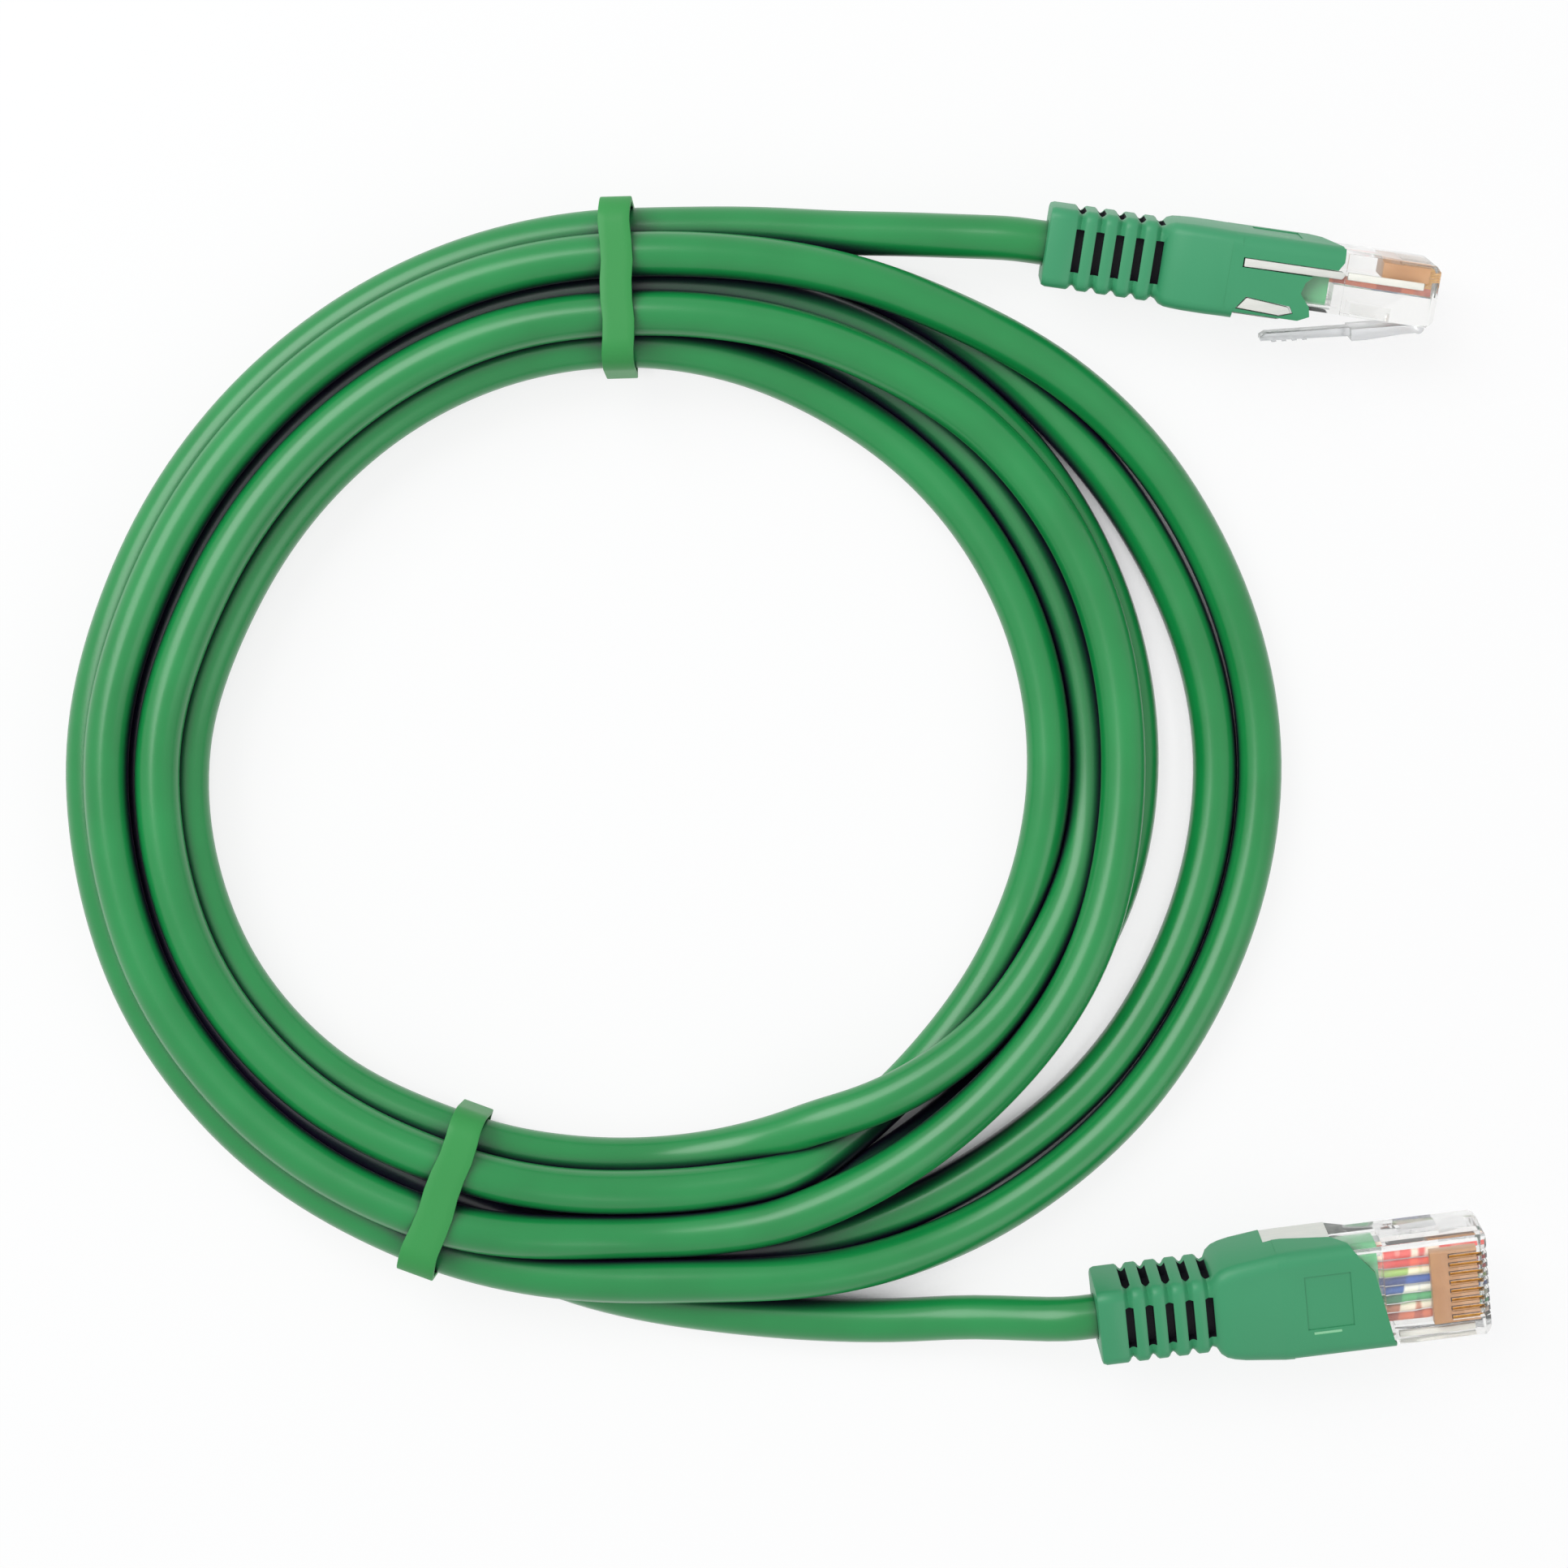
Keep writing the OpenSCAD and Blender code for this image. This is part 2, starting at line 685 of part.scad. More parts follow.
// Middle of the tied coil's section at an angle.
function coil_middle(angle) =
    let (s = around(coil_stations, (angle - coil_start) / 360))
    polar_point(s[0] + s[1] / 2, angle, s[2] + s[3] / 2);

// Puts a tie's section square across the bundle, midway between two rings of the coil.
module at_tie(angle) {
    half_ring = 180 / coil_rings;
    before = coil_middle(angle - half_ring);
    after = coil_middle(angle + half_ring);
    run = after - before;
    translate((before + after) / 2)
        rotate([90, 0, atan2(run[1], run[0]) - 90]) children();
}

module tie(angle) {
    color(tie_green)
    at_tie(angle)
        difference() {
            linear_extrude(tie_w, center = true) tie_ring(0, tie_t);
            linear_extrude(tie_core_d + 2 * channel_gap, center = true)
                tie_ring((tie_t - tie_core_d) / 2 - channel_gap, tie_core_d + 2 * channel_gap);
        }
}

module tie_core(angle) {
    color(steel)
    at_tie(angle)
        linear_extrude(tie_core_d, center = true)
            tie_ring((tie_t - tie_core_d) / 2, tie_core_d);
}

// ---- drawing ----

cable_coil();
cable_outer_turns();
cable_tail_a();
cable_tail_b();
tie(tie_top_angle);  // tie_top
tie_core(tie_top_angle);  // tie_top_core
tie(tie_bottom_angle);  // tie_bottom
tie_core(tie_bottom_angle);  // tie_bottom_core

at_a() boot();  // boot_a
at_a() housing();  // housing_a
at_a() latch();  // latch_a
at_a() jacket_end();  // jacket_end_a
at_a() conductors();  // conductors_a
at_a() contact(0);  // contact_a1
at_a() contact(1);  // contact_a2
at_a() contact(2);  // contact_a3
at_a() contact(3);  // contact_a4
at_a() contact(4);  // contact_a5
at_a() contact(5);  // contact_a6
at_a() contact(6);  // contact_a7
at_a() contact(7);  // contact_a8
at_a() wire(0);  // wire_a1
at_a() wire(1);  // wire_a2
at_a() wire(2);  // wire_a3
at_a() wire(3);  // wire_a4
at_a() wire(4);  // wire_a5
at_a() wire(5);  // wire_a6
at_a() wire(6);  // wire_a7
at_a() wire(7);  // wire_a8

at_b() boot();  // boot_b
at_b() housing();  // housing_b
at_b() latch();  // latch_b
at_b() jacket_end();  // jacket_end_b
at_b() conductors();  // conductors_b
at_b() contact(0);  // contact_b1
at_b() contact(1);  // contact_b2
at_b() contact(2);  // contact_b3
at_b() contact(3);  // contact_b4
at_b() contact(4);  // contact_b5
at_b() contact(5);  // contact_b6
at_b() contact(6);  // contact_b7
at_b() contact(7);  // contact_b8
at_b() wire(0);  // wire_b1
at_b() wire(1);  // wire_b2
at_b() wire(2);  // wire_b3
at_b() wire(3);  // wire_b4
at_b() wire(4);  // wire_b5
at_b() wire(5);  // wire_b6
at_b() wire(6);  // wire_b7
at_b() wire(7);  // wire_b8
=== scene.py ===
"""Dresses the coiled patch cable: one wound cord, two flat ties, a booted modular plug at each end.

Every size is in metres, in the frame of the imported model.
"""

import logging
import math
from collections.abc import Sequence
from dataclasses import dataclass, field
from enum import Enum

import bpy
import numpy as np
from mathutils import Matrix, Vector


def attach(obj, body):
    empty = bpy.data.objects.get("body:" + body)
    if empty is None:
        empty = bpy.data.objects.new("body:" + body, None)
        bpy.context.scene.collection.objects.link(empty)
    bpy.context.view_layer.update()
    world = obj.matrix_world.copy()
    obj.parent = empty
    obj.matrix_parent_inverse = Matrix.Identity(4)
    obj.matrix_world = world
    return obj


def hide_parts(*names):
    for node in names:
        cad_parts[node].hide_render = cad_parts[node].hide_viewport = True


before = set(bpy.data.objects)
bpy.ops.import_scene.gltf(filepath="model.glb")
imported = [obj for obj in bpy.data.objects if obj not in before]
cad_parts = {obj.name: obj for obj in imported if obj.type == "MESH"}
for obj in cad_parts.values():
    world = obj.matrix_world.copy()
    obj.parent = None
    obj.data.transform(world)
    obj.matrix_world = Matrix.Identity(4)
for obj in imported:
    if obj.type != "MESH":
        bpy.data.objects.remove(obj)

log = logging.getLogger("patch_cable")

Point = tuple[float, float, float]
Colour = tuple[float, float, float]

CORD_D = 0.0048
BOOT_L = 0.0206
HOUSING_L = 0.02146
HOUSING_W = 0.01168
FACE_Z = 0.004
CONTACTS = 8
ROOT = "root"


@dataclass(frozen=True)
class Seat:
    """Where a plug lies: the cord's exit from the boot, the plug's turn and its roll, in degrees."""

    plug: str
    exit: Point
    turn: float
    roll: float

    def heading(self) -> np.ndarray:
        """Gives the direction that the plug points in."""
        return np.array([math.cos(math.radians(self.turn)), math.sin(math.radians(self.turn)), 0])

    def matrix(self) -> Matrix:
        """Gives the move from the plug's own frame, whose origin is the housing's rear face."""
        place = Matrix.Translation(Vector(self.exit) + BOOT_L * Vector(self.heading()))
        turned = place @ Matrix.Rotation(math.radians(self.turn), 4, "Z")
        return turned @ Matrix.Rotation(math.radians(self.roll), 4, "X")


SEATS = {
    "a": Seat("a", (0.0286, 0.0581, 0.00695), -8.2, -76.0),
    "b": Seat("b", (0.0340, -0.0578, 0.00775), 7.1, 17.0),
}


# ---- finishes ----


def linear(colour: Colour) -> tuple[float, float, float, float]:
    """Turns a colour as a screen shows it into the renderer's linear light.

    Args:
        colour: red, green and blue, each from 0 to 1.

    Returns:
        The same colour in linear light, with an alpha of 1.
    """
    # the screen's standard curve, straight near black
    light = [c / 12.92 if c <= 0.04045 else ((c + 0.055) / 1.055) ** 2.4 for c in colour]
    return (light[0], light[1], light[2], 1.0)


class NodeSheet:
    """A material's nodes, laid out as they are added."""

    def __init__(self, name: str) -> None:
        """Starts an empty material of that name."""
        self.material = bpy.data.materials.new(name)
        self.material.use_nodes = True
        self.tree = self.material.node_tree
        self.tree.nodes.clear()
        self.output = self.add("ShaderNodeOutputMaterial")

    def add(self, kind: str, **values: object) -> bpy.types.Node:
        """Adds a node and sets its properties and inputs.

        Args:
            kind: the node's type.
            values: a property's or an input's name, with spaces written as underscores.

        Returns:
            The new node.
        """
        node = self.tree.nodes.new(kind)
        for key, value in values.items():
            if hasattr(node, key):
                setattr(node, key, value)
            else:
                node.inputs[key.replace("_", " ")].default_value = value
        return node

    def link(self, source: bpy.types.NodeSocket, target: bpy.types.NodeSocket) -> None:
        """Joins two sockets."""
        self.tree.links.new(source, target)

    def noise(self, scale: float, detail: float, stretch: Point = (1, 1, 1)) -> bpy.types.Node:
        """Adds a noise that lies on the piece.

        Args:
            scale: the number of spots in a unit of the coordinate.
            detail: how many finer layers the noise has.
            stretch: the scale of each axis.

        Returns:
            The noise node.
        """
        where = self.add("ShaderNodeTexCoord")
        turn = self.add("ShaderNodeMapping")
        turn.inputs["Scale"].default_value = stretch
        self.link(where.outputs["Object"], turn.inputs["Vector"])
        noise = self.add("ShaderNodeTexNoise", Scale=scale, Detail=detail)
        self.link(turn.outputs["Vector"], noise.inputs["Vector"])
        return noise

    def ramp(self, value: bpy.types.NodeSocket, start: float, end: float) -> bpy.types.Node:
        """Maps a range of a value to 0 and 1, with soft ends.

        Args:
            value: the socket to map.
            start: the value that gives 0.
            end: the value that gives 1.

        Returns:
            The node that maps it.
        """
        ramp = self.add("ShaderNodeMapRange", From_Min=start, From_Max=end)
        ramp.interpolation_type = "SMOOTHSTEP"
        self.link(value, ramp.inputs["Value"])
        return ramp

    def openness(self, reach: float) -> bpy.types.NodeSocket:
        """Adds a socket that is 1 on an open surface and falls to 0 in a narrow gap.

        Args:
            reach: how far another surface still counts, in metres.

        Returns:
            The socket.
        """
        near = self.add("ShaderNodeAmbientOcclusion", samples=8)
        near.inputs["Distance"].default_value = reach
        return near.outputs["AO"]

    def bands(self, period: float) -> bpy.types.NodeSocket:
        """Adds uneven bands that follow each other along X, with soft edges.

        Args:
            period: about how far it is from band to band.

        Returns:
            The socket that is 0 in one band and 1 in the next.
        """
        spots_a_band = 0.8
        along = (1, 0.15, 0.15)
        cloud = self.noise(spots_a_band / period, 0.0, along)
        return self.ramp(cloud.outputs["Fac"], 0.44, 0.56).outputs["Result"]

    def blend(self, factor: bpy.types.NodeSocket, low: Colour, high: Colour) -> bpy.types.NodeSocket:
        """Mixes two colours by a factor.

        Args:
            factor: the socket that gives the share of the second colour.
            low: the colour at 0, as a screen shows it.
            high: the colour at 1, as a screen shows it.

        Returns:
            The socket with the mixed colour.
        """
        mix = self.add("ShaderNodeMix", data_type="RGBA")
        for socket, colour in zip([s for s in mix.inputs if s.type == "RGBA"], (low, high)):
            socket.default_value = linear(colour)
        self.link(factor, mix.inputs["Factor"])
        return next(s for s in mix.outputs if s.type == "RGBA")

    def painted_gap_shade(self, colour: bpy.types.NodeSocket, vinyl: "MouldedVinyl") -> bpy.types.NodeSocket:
        """Paints shade into a colour in gaps and slots, where little light comes in.

        Args:
            colour: the socket with the open surface's colour.
            vinyl: the finish, which gives the painted shade's colour deep in a gap, how far another
            surface still shades this one, and the range of openness over which the colour deepens.

        Returns:
            The socket with the shaded colour.
        """
        ramp = self.ramp(self.openness(vinyl.reach), *vinyl.open_from)
        mix = self.add("ShaderNodeMix", data_type="RGBA")
        sockets = [s for s in mix.inputs if s.type == "RGBA"]
        sockets[0].default_value = linear(vinyl.gap)
        self.link(colour, sockets[1])
        self.link(ramp.outputs["Result"], mix.inputs["Factor"])
        return next(s for s in mix.outputs if s.type == "RGBA")

    def spread(self, value: bpy.types.NodeSocket, low: float, high: float) -> bpy.types.NodeSocket:
        """Maps a noise's middle range to a range of a shader's value.

        Args:
            value: the socket to map.
            low: the result where the noise is low.
            high: the result where the noise is high.

        Returns:
            The socket with the mapped value.
        """
        scale = self.add("ShaderNodeMapRange", From_Min=0.3, From_Max=0.7, To_Min=low, To_Max=high)
        self.link(value, scale.inputs["Value"])
        return scale.outputs["Result"]

    def bump(
        self, height: bpy.types.NodeSocket, strength: float, distance: float
    ) -> bpy.types.NodeSocket:
        """Adds relief to a surface.

        Args:
            height: the socket that gives the relief.
            strength: how much of it shows, from 0 to 1.
            distance: its full height in metres.

        Returns:
            The socket with the changed normal.
        """
        bump = self.add("ShaderNodeBump", Strength=strength, Distance=distance)
        self.link(height, bump.inputs["Height"])
        return bump.outputs["Normal"]

    def finish(self, shader: bpy.types.Node) -> bpy.types.Material:
        """Sends a shader to the surface and returns the material."""
        self.link(shader.outputs[0], self.output.inputs["Surface"])
        return self.material


@dataclass(frozen=True)
class Finish:
    """A surface finish: its name and the name of a material slot, which is not used."""

    name: str
    slot: str

    def build(self) -> bpy.types.Material:
        """Makes the material."""
        raise NotImplementedError

    def material(self) -> bpy.types.Material:
        """Returns the finish's one material, made the first time that it is asked for."""
        made = bpy.data.materials.get(self.name)
        return made if made else self.build()


@dataclass(frozen=True)
class MouldedVinyl(Finish):
    """Soft satin vinyl, extruded or moulded, with a fine skin, faint mottling and shade painted into its
    gaps.
    """

    dark: Colour = (0.12, 0.50, 0.24)
    light: Colour = (0.19, 0.58, 0.32)
    roughness: tuple[float, float] = (0.34, 0.46)
    mottle: float = 90.0
    grain: float = 4200.0
    grain_strength: float = 0.35
    relief: float = 0.00002
    # painted shade: the colour deep in a gap, how far another surface still shades, and the openness
    # over which it deepens
    gap: Colour = (0.08, 0.07, 0.14)
    reach: float = 0.0012
    open_from: tuple[float, float] = (0.05, 0.5)
    refraction: float = 1.46
    coat: float = 0.12
    coat_roughness: float = 0.22

    def build(self) -> bpy.types.Material:
        """Makes the material."""
        sheet = NodeSheet(self.name)
        shader = sheet.add("ShaderNodeBsdfPrincipled")
        shader.inputs["IOR"].default_value = self.refraction
        shader.inputs["Coat Weight"].default_value = self.coat
        shader.inputs["Coat Roughness"].default_value = self.coat_roughness
        cloud = sheet.noise(self.mottle, 3.0)
        skin = sheet.noise(self.grain, 2.0)
        colour = sheet.blend(cloud.outputs["Fac"], self.dark, self.light)
        sheet.link(sheet.painted_gap_shade(colour, self), shader.inputs["Base Color"])
        sheet.link(sheet.spread(cloud.outputs["Fac"], *self.roughness), shader.inputs["Roughness"])
        skin_normal = sheet.bump(skin.outputs["Fac"], self.grain_strength, self.relief)
        sheet.link(skin_normal, shader.inputs["Normal"])
        return sheet.finish(shader)


@dataclass(frozen=True)
class ClearPolycarbonate(Finish):
    """Clear polished plastic with faint flow lines."""

    tint: Colour = (0.985, 0.985, 0.98)
    clearness: float = 0.95
    roughness: tuple[float, float] = (0.0, 0.05)
    refraction: float = 1.45
    flow: float = 160.0
    relief: float = 0.00004

    def build(self) -> bpy.types.Material:
        """Makes the material."""
        sheet = NodeSheet(self.name)
        shader = sheet.add("ShaderNodeBsdfPrincipled")
        shader.inputs["Base Color"].default_value = linear(self.tint)
        shader.inputs["Transmission Weight"].default_value = self.clearness
        shader.inputs["IOR"].default_value = self.refraction
        flow = sheet.noise(self.flow, 2.0, (1, 3, 1))
        sheet.link(sheet.spread(flow.outputs["Fac"], *self.roughness), shader.inputs["Roughness"])
        sheet.link(sheet.bump(flow.outputs["Fac"], 0.15, self.relief), shader.inputs["Normal"])
        return sheet.finish(shader)


@dataclass(frozen=True)
class WhiteReflectionPolycarbonate(Finish):
    """Clear plastic whose moulded face is painted milky white, a painted reflection where the clear
    housing's edges show.
    """

    dark: Colour = (0.88, 0.89, 0.86)
    light: Colour = (0.97, 0.96, 0.93)
    roughness: tuple[float, float] = (0.3, 0.5)
    clearness: float = 0.12
    refraction: float = 1.5
    cloud: float = 500.0
    relief: float = 0.00003

    def build(self) -> bpy.types.Material:
        """Makes the material."""
        sheet = NodeSheet(self.name)
        shader = sheet.add("ShaderNodeBsdfPrincipled")
        shader.inputs["Transmission Weight"].default_value = self.clearness
        shader.inputs["IOR"].default_value = self.refraction
        cloud = sheet.noise(self.cloud, 3.0, (1, 4, 4))
        sheet.link(sheet.blend(cloud.outputs["Fac"], self.dark, self.light), shader.inputs["Base Color"])
        sheet.link(sheet.spread(cloud.outputs["Fac"], *self.roughness), shader.inputs["Roughness"])
        sheet.link(sheet.bump(cloud.outputs["Fac"], 0.3, self.relief), shader.inputs["Normal"])
        return sheet.finish(shader)


@dataclass(frozen=True)
class BareMetal(Finish):
    """A plain or plated metal with fine scratches along the part."""

    dark: Colour = (0.70, 0.48, 0.20)
    light: Colour = (0.90, 0.70, 0.36)
    roughness: tuple[float, float] = (0.2, 0.38)
    scratches: float = 900.0
    relief: float = 0.00001

    def build(self) -> bpy.types.Material:
        """Makes the material."""
        sheet = NodeSheet(self.name)
        shader = sheet.add("ShaderNodeBsdfPrincipled")
        shader.inputs["Metallic"].default_value = 1.0
        wear = sheet.noise(self.scratches, 4.0, (1, 6, 6))
        sheet.link(sheet.blend(wear.outputs["Fac"], self.dark, self.light), shader.inputs["Base Color"])
        sheet.link(sheet.spread(wear.outputs["Fac"], *self.roughness), shader.inputs["Roughness"])
        sheet.link(sheet.bump(wear.outputs["Fac"], 0.2, self.relief), shader.inputs["Normal"])
        return sheet.finish(shader)


class WireColour(Enum):
    """The insulation of contacts 1 to 8, in the order of the contacts: its ground and its stripe."""

    WHITE_ORANGE = ((0.98, 0.88, 0.80), (0.88, 0.20, 0.15))
    ORANGE = ((0.94, 0.34, 0.18), (0.84, 0.16, 0.11))
    WHITE_GREEN = ((0.97, 0.95, 0.82), (0.62, 0.78, 0.36))
    BLUE = ((0.07, 0.32, 0.68), (0.02, 0.20, 0.50))
    WHITE_BLUE = ((0.96, 0.96, 0.90), (0.06, 0.34, 0.66))
    GREEN = ((0.24, 0.68, 0.40), (0.10, 0.50, 0.32))
    WHITE_BROWN = ((0.97, 0.93, 0.84), (0.80, 0.50, 0.36))
    BROWN = ((0.86, 0.44, 0.28), (0.70, 0.30, 0.18))


@dataclass(frozen=True)
class WireInsulation(Finish):
    """Glossy thin insulation with short uneven stripes along the wire."""

    ground: Colour = (1, 1, 1)
    stripe: Colour = (1, 1, 1)
    period: float = 0.0012
    roughness: tuple[float, float] = (0.25, 0.4)
    grain: float = 700.0
    relief: float = 0.00001

    def build(self) -> bpy.types.Material:
        """Makes the material."""
        sheet = NodeSheet(self.name)
        shader = sheet.add("ShaderNodeBsdfPrincipled")
        share = sheet.bands(self.period)
        skin = sheet.noise(self.grain, 2.0)
        sheet.link(sheet.blend(share, self.ground, self.stripe), shader.inputs["Base Color"])
        sheet.link(sheet.spread(skin.outputs["Fac"], *self.roughness), shader.inputs["Roughness"])
        sheet.link(sheet.bump(skin.outputs["Fac"], 0.2, self.relief), shader.inputs["Normal"])
        return sheet.finish(shader)


# each vinyl paints shade into its gaps; the cord's wide near-black grooves between strands are that
# painted shade
CORD_JACKET = MouldedVinyl(
    "cord_jacket_vinyl", "cable_jacket", dark=(0.02, 0.48, 0.22), light=(0.08, 0.58, 0.29),
    roughness=(0.28, 0.38), coat=0.35, reach=0.005, open_from=(0.25, 0.74), gap=(0.11, 0.07, 0.17),
)
BOOT_VINYL = MouldedVinyl(
    "boot_vinyl", "boot", dark=(0.19, 0.54, 0.36), light=(0.24, 0.61, 0.42),
    roughness=(0.42, 0.55), mottle=60.0,
)
TIE_VINYL = MouldedVinyl(
    "tie_band_vinyl", "tie_band", dark=(0.15, 0.53, 0.24), light=(0.20, 0.59, 0.29),
    roughness=(0.5, 0.62),
)
JACKET_END = MouldedVinyl(
    "jacket_end_vinyl", "cable_jacket", dark=(0.16, 0.58, 0.33), light=(0.24, 0.68, 0.42),
    roughness=(0.3, 0.4), gap=(0.14, 0.52, 0.31),
)
# near-black painted shade for the walls of the boot's slots and bore
SLOT_SHADE = MouldedVinyl(
    "boot_vinyl_inside", "boot", dark=(0.05, 0.06, 0.09), light=(0.08, 0.10, 0.12),
    roughness=(0.6, 0.75), coat=0.0,
)
# pale green painted highlight along a thin line on the hood
PAINTED_HIGHLIGHT_LINE = MouldedVinyl(
    "boot_vinyl_mark", "boot", dark=(0.50, 0.76, 0.58), light=(0.62, 0.86, 0.68),
    roughness=(0.42, 0.55),
)
COMB_AMBER = MouldedVinyl(
    "wire_comb_amber", "clear_plastic", dark=(0.66, 0.46, 0.28), light=(0.80, 0.60, 0.40),
    roughness=(0.3, 0.42), mottle=300.0, gap=(0.45, 0.30, 0.18),
)
CLEAR = ClearPolycarbonate("clear_polycarbonate", "clear_plastic")
MILKY = ClearPolycarbonate(
    "milky_polycarbonate", "clear_plastic", tint=(0.95, 0.955, 0.96), clearness=0.72,
    roughness=(0.1, 0.25),
)
# white that stands in for the reflections on the housing's clear edges: a painted reflection on clear
# plastic
PAINTED_REFLECTION_WHITE = WhiteReflectionPolycarbonate("polycarbonate_painted_reflection", "clear_plastic")
GOLD = BareMetal("gold_plate", "gold_contact")
COPPER = BareMetal("bare_copper", "copper", dark=(0.60, 0.30, 0.18), light=(0.86, 0.52, 0.36))
STEEL = BareMetal("tie_wire_steel", "tie_wire", dark=(0.45, 0.45, 0.47), light=(0.72, 0.72, 0.74))
WIRES = [
    WireInsulation(f"insulation_{colour.name.lower()}", f"wire_{colour.name.lower()}", *colour.value)
    for colour in WireColour
]


def dress_node(node: str, finish: Finish) -> None:
    """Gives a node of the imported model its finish.

    Args:
        node: the node's name.
        finish: the finish that it gets.
    """
    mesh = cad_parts[node].data
    mesh.materials.clear()
    mesh.materials.append(finish.material())


def dress_piece(piece: bpy.types.Object, finish: Finish, body: str, nodes: Sequence[str]) -> None:
    """Gives a new piece its finish and its body, and hides the nodes that it replaces.

    Args:
        piece: the finished piece.
        finish: the finish that it gets.
        body: the body that it rides on.
        nodes: the nodes that it replaces.
    """
    if not piece.data.materials:
        piece.data.materials.append(finish.material())
    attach(piece, body)
    if nodes:
        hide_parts(*nodes)


# ---- modelling moves ----


@dataclass(frozen=True)
class Section:
    """A rounded rectangle across a plug's axis, centred at height z."""

    x: float
    width: float
    height: float
    z: float = 0.0


class Bench:
    """Modelling moves that the pieces share. A plug's pieces are built in the plug's own frame."""

    merge: float = 1e-6
    rod_faces: int = 48
    smooth_angle: float = 40.0

    @staticmethod
    def clear() -> None:
        """Leaves edit mode and deselects everything."""
        if bpy.context.object and bpy.context.object.mode != "OBJECT":
            bpy.ops.object.mode_set(mode="OBJECT")
        bpy.ops.object.select_all(action="DESELECT")

    @classmethod
    def pick(cls, piece: bpy.types.Object) -> None:
        """Selects one piece alone and makes it active."""
        cls.clear()
        piece.select_set(True)
        bpy.context.view_layer.objects.active = piece

    @classmethod
    def edit(cls, piece: bpy.types.Object) -> None:
        """Opens a piece in edit mode with all of it selected."""
        cls.pick(piece)
        bpy.ops.object.mode_set(mode="EDIT")
        bpy.ops.mesh.select_mode(type="VERT")
        bpy.ops.mesh.select_all(action="SELECT")

    @classmethod
    def close(cls) -> None:
        """Merges what lies together, turns all faces outwards and leaves edit mode."""
        bpy.ops.mesh.select_all(action="SELECT")
        bpy.ops.mesh.remove_doubles(threshold=cls.merge)
        bpy.ops.mesh.normals_make_consistent(inside=False)
        bpy.ops.object.mode_set(mode="OBJECT")

    @classmethod
    def loft(
        cls, name: str, sections: Sequence[Section], corner: float, segments: int = 5
    ) -> bpy.types.Object:
        """Extrudes a rounded rectangle along X, from section to section.

        Args:
            name: the piece's name.
            sections: the sections in order along X.
            corner: the corner radius of the first section; the others keep its share.
            segments: the number of faces around each corner.

        Returns:
            The closed piece.
        """
        cls.clear()
        first = sections[0]
        bpy.ops.mesh.primitive_plane_add(size=1, rotation=(0, math.pi / 2, 0))
        piece = bpy.context.object
        piece.name = name
        bpy.ops.object.transform_apply(location=False, rotation=True, scale=False)
        cls.edit(piece)
        bpy.ops.transform.resize(value=(1, first.width, first.height), center_override=(0, 0, 0))
        bpy.ops.transform.translate(value=(first.x, 0, first.z))
        bpy.ops.mesh.bevel(offset=corner, segments=segments, affect="VERTICES")
        for last, section in zip(sections, sections[1:]):
            step = (section.x - last.x, 0, section.z - last.z)
            bpy.ops.mesh.extrude_region_move(TRANSFORM_OT_translate={"value": step})
            bpy.ops.transform.resize(
                value=(1, section.width / last.width, section.height / last.height),
                center_override=(section.x, 0, section.z),
            )
        cls.close()
        return piece

    @classmethod
    def prism(
        cls, name: str, outline: Sequence[tuple[float, float]], axis: str, low: float, high: float
    ) -> bpy.types.Object:
        """Extrudes an outline along Y or Z.

        Args:
            name: the piece's name.
            outline: the outline's points, as (x, z) along Y and as (x, y) along Z.
            axis: the direction of the extrusion, Y or Z.
            low: where the extrusion starts on that axis.
            high: where it ends.

        Returns:
            The closed piece.
        """
        cls.clear()
        bpy.ops.mesh.primitive_circle_add(vertices=len(outline), fill_type="NGON")
        piece = bpy.context.object
        piece.name = name
        for vertex, (x, other) in zip(piece.data.vertices, outline):
            vertex.co = (x, low, other) if axis == "Y" else (x, other, low)
        cls.edit(piece)
        depth = high - low
        step = (0, depth, 0) if axis == "Y" else (0, 0, depth)
        bpy.ops.mesh.extrude_region_move(TRANSFORM_OT_translate={"value": step})
        cls.close()
        return piece

    @classmethod
    def block(cls, name: str, low: Point, high: Point) -> bpy.types.Object:
        """Makes a box between two corners."""
        outline = [(low[0], low[1]), (high[0], low[1]), (high[0], high[1]), (low[0], high[1])]
        return cls.prism(name, outline, "Z", low[2], high[2])

    @classmethod
    def rod(cls, name: str, start: Point, along: str, length: float, radius: float) -> bpy.types.Object:
        """Makes a round rod along X or Y.

        Args:
            name: the rod's name.
            start: the middle of its first end.
            along: the direction that it runs in, X or Y.
            length: its length.
            radius: its radius.

        Returns:
            The closed rod.
        """
        cls.clear()
        turn = (0, math.pi / 2, 0) if along == "X" else (math.pi / 2, 0, 0)
        half = Vector((length / 2, 0, 0) if along == "X" else (0, length / 2, 0))
        middle = Vector(start) + half
        bpy.ops.mesh.primitive_cylinder_add(
            vertices=cls.rod_faces, radius=radius, depth=length, location=middle, rotation=turn
        )
        piece = bpy.context.object
        piece.name = name
        bpy.ops.object.transform_apply(location=True, rotation=True, scale=False)
        return piece

